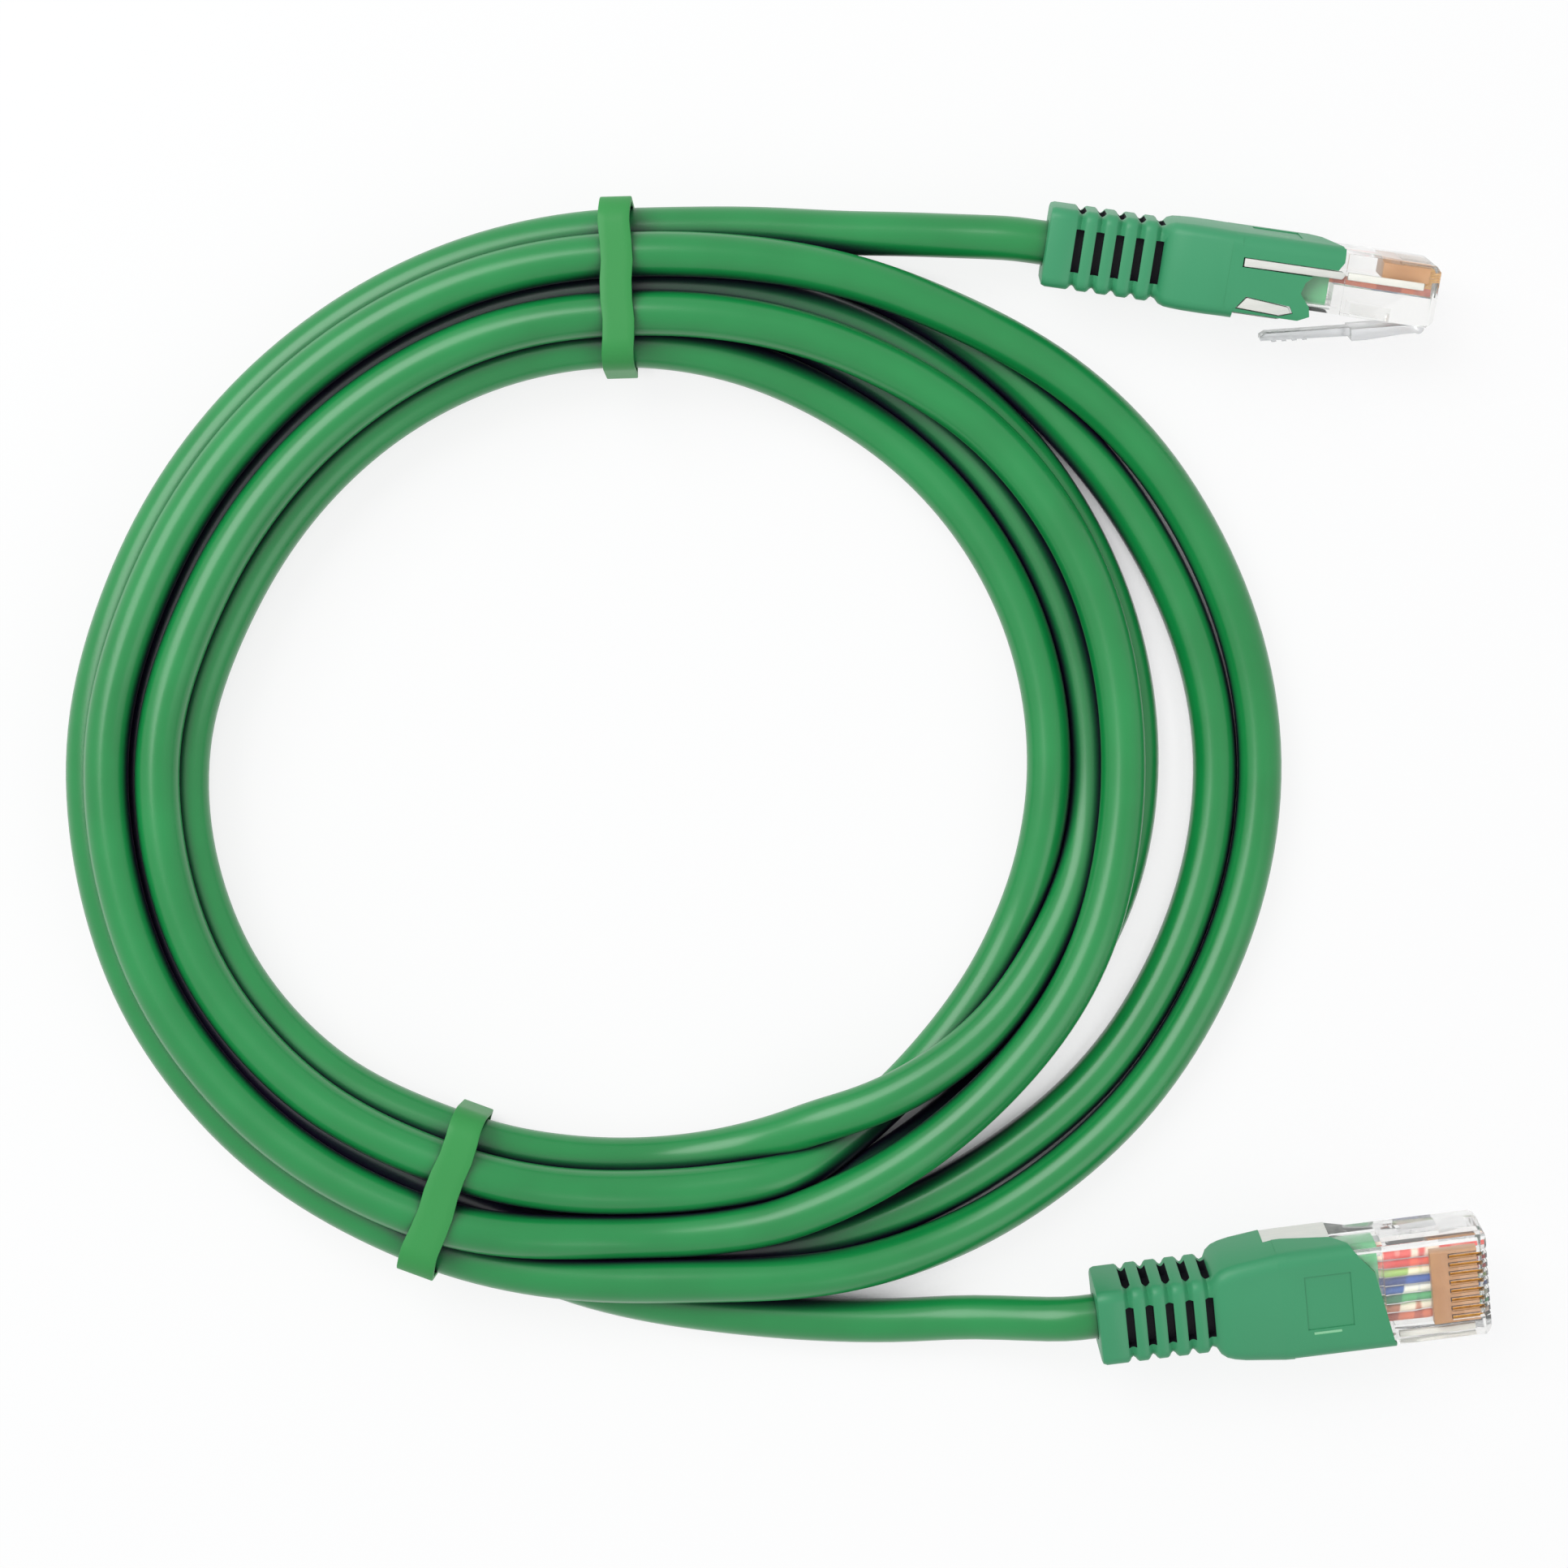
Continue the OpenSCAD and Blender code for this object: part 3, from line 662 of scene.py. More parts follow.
    @classmethod
    def combine(
        cls, piece: bpy.types.Object, others: Sequence[bpy.types.Object], operation: str
    ) -> None:
        """Cuts, joins or keeps what is shared with other pieces, which are used up.

        Args:
            piece: the piece that changes.
            others: the pieces that it is combined with.
            operation: DIFFERENCE, UNION or INTERSECT.
        """
        for other in others:
            modifier = piece.modifiers.new("combine", "BOOLEAN")
            modifier.operation = operation
            modifier.solver = "EXACT"
            modifier.material_mode = "TRANSFER" if other.data.materials else "INDEX"
            modifier.object = other
            cls.pick(piece)
            bpy.ops.object.modifier_apply(modifier=modifier.name)
            bpy.data.objects.remove(other, do_unlink=True)

    @classmethod
    def shade(cls, piece: bpy.types.Object, angle: float = smooth_angle) -> None:
        """Shades a piece smoothly, but for edges sharper than an angle in degrees."""
        cls.pick(piece)
        bpy.ops.object.shade_smooth_by_angle(angle=math.radians(angle))

    @classmethod
    def soften(
        cls, piece: bpy.types.Object, width: float, segments: int = 3, angle: float = 32.0
    ) -> None:
        """Rounds a piece's sharp edges and shades its flats and rounds smoothly.

        Args:
            piece: the piece.
            width: the width of the rounding.
            segments: the number of faces across it.
            angle: edges sharper than this many degrees are rounded.
        """
        modifier = piece.modifiers.new("soften", "BEVEL")
        modifier.width = width
        modifier.segments = segments
        modifier.limit_method = "ANGLE"
        modifier.angle_limit = math.radians(angle)
        modifier.miter_outer = "MITER_ARC"
        cls.pick(piece)
        bpy.ops.object.modifier_apply(modifier=modifier.name)
        cls.shade(piece)

    @staticmethod
    def copy(piece: bpy.types.Object, name: str, place: Matrix) -> bpy.types.Object:
        """Copies a piece with its own mesh and moves the mesh into place.

        Args:
            piece: the piece, in its plug's own frame.
            name: the copy's name.
            place: the move into the part's frame.

        Returns:
            The copy.
        """
        twin = piece.copy()
        twin.data = piece.data.copy()
        twin.name = name
        twin.data.name = name
        twin.data.transform(place)
        bpy.context.scene.collection.objects.link(twin)
        return twin


# ---- the cord ----


@dataclass
class PatchCord:
    """The one continuous cord: tail A, six and a half tied turns, tail B."""

    centre: tuple[float, float] = (-0.0138, 0.0014)
    diameter: float = CORD_D
    length: float = 2.30
    first_station: float = 4.0
    step: int = 5
    start: int = 60
    end: int = 2460
    tie_angles: tuple[float, float] = (94.0, 244.0)
    tie_floor: float = 0.00312
    tie_ceiling: float = 0.01116
    layer: float = 0.0041
    # settling: rounds, then each round's pull to the goal, sag, evening-out, spacing and push
    rounds: int = 600
    pull: float = 0.03
    sag: float = 0.00002
    evening: float = 0.25
    spacing: float = 1.01
    push: float = 0.9
    # how far a tie lifts the strand, in degrees; the tails, before and after these angles, give less
    tie_spread: float = 9.0
    tail_ends: tuple[int, int] = (88, 2432)
    tail_share: float = 0.3
    # inner radius, width and underside of the tied turns, every 30 degrees
    stations: tuple[tuple[float, float, float], ...] = (
        (0.0406, 0.0150, 0.0), (0.0410, 0.0164, 0.0), (0.0416, 0.0182, 0.0002),
        (0.0434, 0.0172, 0.0008), (0.0447, 0.0165, 0.0002), (0.0458, 0.0162, 0.0),
        (0.0482, 0.0152, 0.0), (0.0468, 0.0158, 0.0002), (0.0421, 0.0172, 0.0008),
        (0.0402, 0.0182, 0.0003), (0.0399, 0.0138, 0.0), (0.0405, 0.0124, 0.0),
    )
    # each pass through the ties: share of the bundle's width, and layer
    tied_places: tuple[tuple[float, int], ...] = (
        (1.0, 1), (0.75, 2), (0.25, 2), (0.0, 1), (0.25, 0), (0.5, 1), (0.75, 0),
    )
    tied_marks: tuple[int, ...] = (90, 110, 135, 160, 180, 200, 220, 243)
    # past the lower tie and round the right-hand side: radius and height of each pass
    open_places: dict[int, tuple[tuple[float, float], ...]] = field(default_factory=lambda: {
        272: ((0.0548, 0.0066), (0.0500, 0.0066), (0.0452, 0.0066),
              (0.0428, 0.0025), (0.0476, 0.0025), (0.0524, 0.0025)),
        310: ((0.0612, 0.0036), (0.0500, 0.0070), (0.0430, 0.0030),
              (0.0452, 0.0058), (0.0488, 0.0024), (0.0565, 0.0024)),
        330: ((0.0641, 0.0036), (0.0502, 0.0072), (0.0429, 0.0030),
              (0.0470, 0.0054), (0.0504, 0.0024), (0.0594, 0.0024)),
        360: ((0.0661, 0.0036), (0.0507, 0.0070), (0.0431, 0.0050),
              (0.0474, 0.0024), (0.0524, 0.0024), (0.0614, 0.0024)),
        390: ((0.0637, 0.0038), (0.0516, 0.0070), (0.0436, 0.0050),
              (0.0479, 0.0024), (0.0530, 0.0024), (0.0590, 0.0024)),
        405: ((0.0608, 0.0062), (0.0514, 0.0072), (0.0440, 0.0048),
              (0.0484, 0.0024), (0.0533, 0.0032), (0.0579, 0.0026)),
        420: ((0.0579, 0.0086), (0.0501, 0.0090), (0.0445, 0.0048),
              (0.0487, 0.0028), (0.0526, 0.0050), (0.0570, 0.0028)),
    })
    # tails, as angle, radius and height about the coil's centre
    tail_a: tuple[Point, ...] = ((60, 0.0664, 0.0070), (70, 0.0615, 0.0070), (80, 0.0592, 0.0070))
    tail_b: tuple[Point, ...] = (
        (270, 0.0579, 0.0025), (280, 0.0604, 0.0026), (290, 0.0642, 0.0029), (300, 0.0690, 0.0041)
    )

    def bundle(self, degrees: np.ndarray) -> np.ndarray:
        """Reads the tied turns' inner radius, width and underside at some angles, by a smooth spline.

        Args:
            degrees: the angles about the coil's centre.

        Returns:
            A row of three values for each angle.
        """
        values = np.array(self.stations)
        count = len(values)
        place = ((degrees - self.first_station) % 360) / 360 * count
        k = np.floor(place).astype(int)
        t = (place - k)[:, None]
        a, b, c, d = (values[(k + o) % count] for o in (-1, 0, 1, 2))
        bend, twist = 2 * a - 5 * b + 4 * c - d, 3 * b - a - 3 * c + d
        return 0.5 * (2 * b + (c - a) * t + bend * t**2 + twist * t**3)

    def goals(self) -> np.ndarray:
        """Lists where the strand should pass: angle, radius and height, along its length."""
        marks = list(self.tail_a)
        for turn, (share, layer) in enumerate(self.tied_places):
            base = 360 * turn
            rows = self.bundle(np.array(self.tied_marks, float))
            for mark, (inner, width, low) in zip(self.tied_marks, rows):
                radius = inner + self.diameter / 2 + share * (width - self.diameter)
                marks.append((base + mark, radius, low + self.diameter / 2 + layer * self.layer))
            if turn < len(self.tied_places) - 1:
                marks += [(base + mark, *row[turn]) for mark, row in self.open_places.items()]
            else:
                marks += [(base + mark, radius, height) for mark, radius, height in self.tail_b]
        return np.array(marks)

    @staticmethod
    def ease(x: np.ndarray, marks: np.ndarray, values: np.ndarray) -> np.ndarray:
        """Runs a smooth curve without overshoot through values.

        Args:
            x: where the curve is read.
            marks: where the values lie.
            values: the values.

        Returns:
            The curve's values at x.
        """
        run = np.diff(marks)
        slope = np.diff(values) / run
        both = slope[:-1] + slope[1:]
        same_sign = slope[:-1] * slope[1:] > 0
        tangent = np.zeros_like(values)
        even = 2 * slope[:-1] * slope[1:] / np.where(same_sign, both, 1)
        tangent[1:-1] = np.where(same_sign, even, 0)
        tangent[0], tangent[-1] = slope[0], slope[-1]
        k = np.clip(np.searchsorted(marks, x) - 1, 0, len(run) - 1)
        t = (x - marks[k]) / run[k]
        return (
            (1 + 2 * t) * (1 - t) ** 2 * values[k] + t * (1 - t) ** 2 * run[k] * tangent[k]
            + t * t * (3 - 2 * t) * values[k + 1] + t * t * (t - 1) * run[k] * tangent[k + 1]
        )

    def settle(self) -> tuple[np.ndarray, np.ndarray]:
        """Lets the turns settle on each other, inside the ties and on the surface.

        Returns:
            The angles along the strand, and its radius and height at each.
        """
        angle = np.arange(self.start, self.end + 1, self.step).astype(float)
        marks = self.goals()
        goal = np.stack([self.ease(angle, marks[:, 0], marks[:, c]) for c in (1, 2)], 1)
        strand = goal.copy()
        count, per_turn = len(angle), 360 // self.step
        inner = self.bundle(angle)[:, 0] + self.diameter / 2
        floor = np.full(count, self.diameter / 2)
        ceiling = np.full(count, 1.0)
        for tie in self.tie_angles:
            near = np.exp(-(((angle % 360) - tie) / self.tie_spread) ** 2)
            floor += (self.tie_floor - self.diameter / 2) * near
            ceiling = np.where(near > 0.9, self.tie_ceiling, ceiling)
        in_tail = (angle < self.tail_ends[0]) | (angle > self.tail_ends[1])
        loose = np.where(in_tail, self.tail_share, 1.0)[:, None]
        turns = range(1, len(self.tied_places))
        for _ in range(self.rounds):
            strand += self.pull * (goal - strand)
            strand[:, 1] -= self.sag
            offset = strand - goal
            for _ in range(2):
                offset[1:-1] += self.evening * (offset[2:] - 2 * offset[1:-1] + offset[:-2])
            strand = goal + offset
            for _ in range(3):
                push = np.zeros_like(strand)
                for m in turns:
                    gap = strand[per_turn * m:] - strand[: count - per_turn * m]
                    apart = np.maximum(np.hypot(gap[:, 0], gap[:, 1]), 1e-9)[:, None]
                    part = np.maximum(self.diameter * self.spacing - apart, 0) * gap / apart / 2
                    push[: count - per_turn * m] -= part
                    push[per_turn * m:] += part
                strand += push * loose * self.push
                strand[:, 0] = np.maximum(strand[:, 0], inner)
                strand[:, 1] = np.clip(strand[:, 1], floor, ceiling)
        return angle, strand

    def route(self) -> np.ndarray:
        """Works out the cord's centre line, from boot A to boot B."""
        angle, strand = self.settle()
        turn = np.radians(angle)
        wound = np.stack([
            self.centre[0] + strand[:, 0] * np.cos(turn),
            self.centre[1] + strand[:, 0] * np.sin(turn),
            strand[:, 1],
        ], 1)
        near, far = ([np.array(seat.exit) - back * seat.heading() for back in (0, 0.002, 0.004)]
                     for seat in SEATS.values())
        return np.vstack([near, wound, far[::-1]])

    def build(self) -> bpy.types.Object:
        """Makes the cord as one round curve."""
        points = self.route()
        curve = bpy.data.curves.new("cord", "CURVE")
        curve.dimensions = "3D"
        curve.bevel_depth = self.diameter / 2
        curve.bevel_resolution = 8
        curve.resolution_u = 3
        spline = curve.splines.new("NURBS")
        spline.points.add(len(points) - 1)
        for point, place in zip(spline.points, points):
            point.co = (*place, 1.0)
        spline.order_u = 4
        spline.use_endpoint_u = True
        spline.use_smooth = True
        cord = bpy.data.objects.new("cord", curve)
        bpy.context.scene.collection.objects.link(cord)
        run = float(np.linalg.norm(np.diff(points, axis=0), axis=1).sum())
        log.info("cord: %.3f m along its centre line", run)
        return cord

    def dress(self, cord: bpy.types.Object) -> None:
        """Args:
            cord: the cord's curve.
        """
        dress_piece(
            cord, CORD_JACKET, ROOT, ["cable_coil", "cable_outer_turns", "cable_tail_a", "cable_tail_b"]
        )


# ---- the plugs ----


@dataclass
class Boot:
    """The ribbed strain relief with its grip, one side arm, the slanted hood and a short flap.

    The flap lies on the other side, over the place where the housing's edge shows, painted white as a
    reflection. All of it is in the plug's frame.
    """

    crest: float = 0.0086
    groove: float = 0.0005
    groove_half: float = 0.00062
    corner: float = 0.00105
    slot_count: int = 5
    slot_pitch: float = 0.00215
    slot_width: float = 0.00088
    slot_length: float = 0.0046
    slot_floor: float = 0.0027
    first_slot: float = -0.01765
    bore: float = 0.00505
    bore_depth: float = 0.0012
    side: float = 0.00625
    top: float = 0.0046
    arm_inside: float = 0.00539
    plate_low: float = 0.00405
    arm_front: float = 0.011
    hood_front: float = 0.0092
    hood_side: float = 0.0068
    lower_front: float = 0.007
    arm_low: float = -0.0038
    flap_low: tuple[float, float] = (-0.0002, 0.0009)
    flap_front: float = 0.0052
    flap_inside: float = 0.00586
    strip_back: float = -0.0019
    strip_inside: float = 0.0054

    def sections(self) -> list[Section]:
        """Lists the sections of the collar, the grooves between the ribs and the flared grip."""
        full = self.crest
        collar = ((0.0, 0.0008), (0.0001, 0.0003), (0.0005, 0.0))
        rows = [Section(-BOOT_L + x, full - less, full - less) for x, less in collar]
        for k in range(self.slot_count - 1):
            rows += self.valley(self.first_slot + k * self.slot_pitch + self.slot_width / 2)
        end = self.first_slot + (self.slot_count - 1) * self.slot_pitch + self.slot_width / 2
        rows += self.valley(end)[:4]
        flare = ((0.0004, 0.0079, 0.0079), (0.0008, 0.0093, 0.0087), (0.0014, 0.0102, 0.0091),
                 (0.0022, 0.0108, 0.0092), (0.0034, 0.0113, 0.0093), (0.0058, 0.0119, 0.0093))
        rows += [Section(end + x, width, height) for x, width, height in flare]
        rows += [Section(-0.001, 0.0124, 0.0092), Section(0.0, 2 * self.side, 2 * self.top)]
        return rows

    def valley(self, middle: float) -> list[Section]:
        """Lists the sections of one round groove.

        Args:
            middle: the groove's middle along the plug.

        Returns:
            Seven sections, from crest to crest.
        """
        rows = []
        for step in range(-3, 4):
            depth = self.groove * math.cos(math.pi * step / 6) ** 2
            width = self.crest - 2 * depth
            rows.append(Section(middle + step / 3 * self.groove_half, width, width))
        return rows

    def hood(self) -> bpy.types.Object:
        """Builds the side arm, the slanted plate over the contact face and the flap, as one piece."""
        back, lower = -0.001, self.lower_front
        arm = Bench.prism("hood", [
            (back, self.arm_low), (lower, self.arm_low), (lower + 0.0012, self.arm_low + 0.0006),
            (lower + 0.0010, -0.0022), (lower - 0.0001, -0.0009), (lower + 0.0002, 0.0003),
            (lower + 0.0012, 0.0014), (self.arm_front - 0.0006, 0.0020),
            (self.arm_front, self.top - 0.0016), (self.arm_front, self.top), (back, self.top),
        ], "Y", -self.side, -self.arm_inside)
        plate = Bench.prism("plate", [
            (back, -self.side), (self.arm_front, -self.side), (self.hood_front, self.side / 2),
            (self.hood_side + 0.0012, self.side - 0.0016),
            (self.flap_front + 0.0016, self.side), (back, self.side),
        ], "Z", self.plate_low, self.top)
        ends = [Section(x, 2 * self.side, 2 * self.top) for x in (back, 0.012)]
        shape = Bench.loft("outline", ends, 0.0015)
        Bench.combine(arm, [plate, self.flap()], "UNION")
        Bench.combine(arm, [shape], "INTERSECT")
        return arm

    def flap(self) -> bpy.types.Object:
        """Builds the short flap that the hood bends down over the housing's other side."""
        back, front, high = -0.001, self.flap_front, self.top - 0.0002
        return Bench.prism("flap", [
            (back, self.flap_low[0]), (0.0, self.flap_low[0]), (front, self.flap_low[1]),
            (front + 0.0014, 0.0028), (front + 0.0020, high), (back, high),
        ], "Y", self.flap_inside, self.side)

    def windows(self) -> list[bpy.types.Object]:
        """Makes the cutters of the arm's two windows, of the hood's faint panel, and of a thin line
        whose walls carry a painted highlight.
        """
        upper = Bench.block("upper_window", (0.0003, -0.007, 0.00105), (0.0125, -0.00535, 0.0021))
        lower = Bench.prism("lower_window", [
            (0.0002, -0.0034), (0.0050, -0.0036), (0.0064, -0.0031),
            (0.0060, -0.0024), (0.0036, -0.0022), (0.0012, -0.0020),
        ], "Y", -0.007, -0.005)
        panel = Bench.block("panel", (0.0016, -0.0026, self.top - 0.00012), (0.0066, 0.0036, 0.006))
        line = Bench.block("line", (0.0022, -0.0032, self.top - 0.00004), (0.0052, -0.0029, 0.006))
        # the line's walls take the pale painted highlight
        line.data.materials.append(PAINTED_HIGHLIGHT_LINE.material())
        return [upper, lower, panel, line]

    def strip(self, inset: float) -> bpy.types.Object:
        """Makes the block that is cut from the boot's side, where the housing's edge shows, painted
        white as a reflection.

        Args:
            inset: how much smaller than the cut the block is on each side.

        Returns:
            The block.
        """
        back, front = self.strip_back + inset, self.flap_front
        high, higher = (edge - inset for edge in self.flap_low)
        return Bench.prism("strip", [
            (back, -0.006), (front, -0.006), (front, higher), (0.0, high), (back, high),
        ], "Y", self.strip_inside + inset, 0.008)

    def strip_fill(self) -> bpy.types.Object:
        """Builds the housing's edge that fills the cut, a little below the boot's surface, where a white
        reflection is painted on.
        """
        width, height = 2 * (self.side - 0.00015), 2 * (self.top - 0.00012)
        places = ((-0.003, width - 0.0002), (0.0, width), (0.008, width))
        fill = Bench.loft("strip_fill", [Section(x, across, height) for x, across in places], 0.0013)
        Bench.combine(fill, [self.strip(-0.00004)], "INTERSECT")
        return fill

    def slots(self) -> list[bpy.types.Object]:
        """Makes the cutters of the slots on all four sides and of the cord's bore, which give their
        walls a near-black painted shade.
        """
        cutters = []
        half = self.slot_length / 2
        for k in range(self.slot_count):
            x = self.first_slot + k * self.slot_pitch
            for turn in range(4):
                far_corner = (x + self.slot_width, half, 0.0062)
                cutter = Bench.block("slot", (x, -half, self.slot_floor), far_corner)
                cutter.data.transform(Matrix.Rotation(turn * math.pi / 2, 4, "X"))
                cutters.append(cutter)
        start = (-BOOT_L - 0.001, 0, 0)
        cutters.append(Bench.rod("bore", start, "X", 0.001 + self.bore_depth, self.bore / 2))
        for cutter in cutters:
            # the slot and bore walls take this near-black painted shade
            cutter.data.materials.append(SLOT_SHADE.material())
        return cutters

    def build(self) -> bpy.types.Object:
        """Builds the whole moulding."""
        boot = Bench.loft("boot", self.sections(), self.corner)
        hood = self.hood()
        for piece in (boot, hood):
            piece.data.materials.append(BOOT_VINYL.material())
        Bench.combine(boot, self.slots(), "DIFFERENCE")
        Bench.combine(boot, [hood], "UNION")
        Bench.combine(boot, [self.strip(0.0), *self.windows()], "DIFFERENCE")
        Bench.shade(boot)
        return boot


@dataclass
class Housing:
    """The clear housing with its pocket, chamber, blade slots and latch seat, in the plug's frame."""

    nose_low: float = -0.0026
    rear_length: float = 0.005
    slope_length: float = 0.0024
    chamfer: float = 0.0007
    pocket: Section = Section(0.0104, 0.0091, 0.0047)
    pocket_corner: float = 0.0012
    chamber_end: float = 0.02074
    chamber_width: float = 0.0086
    chamber_low: float = 0.00045
    chamber_high: float = 0.00155
    arm_recess: float = 0.00529
    arm_front: float = 0.0114
    contact_pitch: float = 0.001016
    blade_back: float = 0.01731
    blade_width: float = 0.00044
    seat: Point = (0.02036, 0.0, -0.00305)
    seat_radius: float = 0.00065
    seat_width: float = 0.0065
    comb_low: Point = (0.0153, -0.0042, 0.0019)
    comb_high: Point = (0.0203, 0.0042, 0.0035)
    soft: float = 0.00022
    smooth_angle: float = 35.0

    def blade_places(self) -> list[float]:
        """Lists where the blades stand across the plug."""
        return [(CONTACTS - 1 - 2 * k) * self.contact_pitch / 2 for k in range(CONTACTS)]

    def blank(self) -> bpy.types.Object:
        """Builds the housing's outer shape, deeper at the rear than at the nose."""
        c, low, rear, half = self.chamfer, self.nose_low, self.rear_length, HOUSING_W / 2
        side = Bench.prism("housing", [
            (0, -FACE_Z), (rear, -FACE_Z), (rear + self.slope_length, low),
            (HOUSING_L - c, low), (HOUSING_L, low + c), (HOUSING_L, FACE_Z - c),
            (HOUSING_L - c, FACE_Z), (0, FACE_Z),
        ], "Y", -half, half)
        round_nose = [
            (HOUSING_L - c + c * math.cos(a), s * (half - c + c * math.sin(a)))
            for s, angles in ((-1, (90, 60, 30, 0)), (1, (0, 30, 60, 90)))
            for a in map(math.radians, angles)
        ]
        plan = Bench.prism("plan", [(-0.001, -half), *round_nose, (-0.001, half)], "Z", -0.005, 0.005)
        Bench.combine(side, [plan], "INTERSECT")
        return side

    def hollows(self) -> list[bpy.types.Object]:
        """Makes the cutters of everything that is hollow in the housing."""
        half, pocket = self.chamber_width / 2, self.pocket
        mouth = Section(-0.001, pocket.width, pocket.height)
        chamber_back = (pocket.x - 0.0001, -half, self.chamber_low)
        recess_end = (self.arm_front, -self.arm_recess, 0.005)
        saver_end = (0.0168, 0.0036, self.nose_low + 0.0014)
        seat_end = (self.seat[0], -self.seat_width / 2, self.seat[2])
        cutters = [
            Bench.loft("pocket", [mouth, pocket], self.pocket_corner),
            Bench.block("chamber", chamber_back, (self.chamber_end, half, self.chamber_high)),
            Bench.block("arm_recess", (-0.001, -0.007, -0.005), recess_end),
            Bench.block("saver", (0.0126, -0.0036, -0.005), saver_end),
            Bench.rod("seat", seat_end, "Y", self.seat_width, self.seat_radius),
        ]
        back, w = self.blade_back - 0.00005, self.blade_width / 2
        for y in self.blade_places():
            cutters.append(Bench.block("blade_slot", (back, y - w, 0.001), (0.0225, y + w, 0.005)))
        return cutters

    def build(self) -> bpy.types.Object:
        """Builds the whole housing."""
        housing = self.blank()
        Bench.soften(housing, self.soft)
        Bench.combine(housing, self.hollows(), "DIFFERENCE")
        Bench.shade(housing, self.smooth_angle)
        return housing

    def tongues(self) -> bpy.types.Object:
        """Builds the housing's parts painted white as a reflection: two tongues in the arm's windows, a
        rib, the side edge.
        """
        upper = Bench.prism("tongue", [
            (0.00045, 0.00112), (0.0110, 0.00122), (0.0113, 0.0017),
            (0.0110, 0.0020), (0.00045, 0.00203),
        ], "Y", -0.00622, -0.0052)
        rib = Bench.block("rib", (0.0116, -0.00568, 0.00122), (0.0198, -0.0050, 0.0020))
        lower = Bench.prism("lower_tongue", [
            (0.0004, -0.0033), (0.0049, -0.0035), (0.0062, -0.0031),
            (0.0058, -0.0025), (0.0036, -0.0023), (0.0013, -0.0021),
        ], "Y", -0.00618, -0.0052)
        Bench.combine(upper, [lower, rib], "UNION")
        Bench.soften(upper, 0.0001, 2)
        Bench.combine(upper, [Boot().strip_fill()], "UNION")
        return upper

    def comb(self) -> bpy.types.Object:
        """Builds the amber comb that keeps the wires and the blades apart."""
        comb = Bench.block("comb", self.comb_low, self.comb_high)
        back, w = self.blade_back - 0.0001, self.blade_width / 2 + 0.00004
        for y in self.blade_places():
            slot = Bench.block("comb_slot", (back, y - w, 0.0), (0.0225, y + w, 0.005))
            Bench.combine(comb, [slot], "DIFFERENCE")
        Bench.soften(comb, 0.00006, 2)
        return comb


@dataclass
class Latch:
    """The springy lever with its round root, wide shoulders and thumb ridges, in the plug's frame."""

    root: Point = (0.02036, 0.0, -0.00305)
    rest: float = 12.3
    length: float = 0.0168
    shoulder_length: float = 0.0072
    shoulder_width: float = 0.0062
    lever_width: float = 0.00325
    thickness: float = 0.0009
    root_radius: float = 0.0006
    ridge_count: int = 4
    ridge_pitch: float = 0.0011
    soft: float = 0.00016

    def build(self) -> bpy.types.Object:
        """Builds the lever at rest."""
        top = self.root_radius - 0.0002
        low = top - self.thickness
        shoulder = self.shoulder_length
        wide = self.shoulder_width / 2
        slim = self.lever_width / 2
        latch = Bench.prism("latch", [
            (0, low), (-0.0016, low), (0.0016 - shoulder, low - 0.00035), (-shoulder, low - 0.00035),
            (-shoulder, top), (0, top),
        ], "Y", -wide, wide)
        lever = Bench.prism("lever", [
            (0.0002 - shoulder, low), (-self.length, low + 0.00015), (-self.length, top - 0.00035),
            (0.0006 - self.length, top), (0.0002 - shoulder, top),
        ], "Y", -slim, slim)
        ridge = (slim - 0.0003, low - 0.0001, low + 0.0003)
        first = 0.0012 - self.length
        ridges = [
            Bench.block("ridge", (x, -ridge[0], ridge[1]), (x + 0.0005, ridge[0], ridge[2]))
            for x in (first + k * self.ridge_pitch for k in range(self.ridge_count))
        ]
        root = Bench.rod("root", (0, -wide, 0), "Y", 2 * wide, self.root_radius)
        Bench.combine(latch, [lever, root, *ridges], "UNION")
        Bench.soften(latch, self.soft, 2)
        turn = Matrix.Rotation(math.radians(-self.rest), 4, "Y")
        latch.data.transform(Matrix.Translation(Vector(self.root)) @ turn)
        return latch


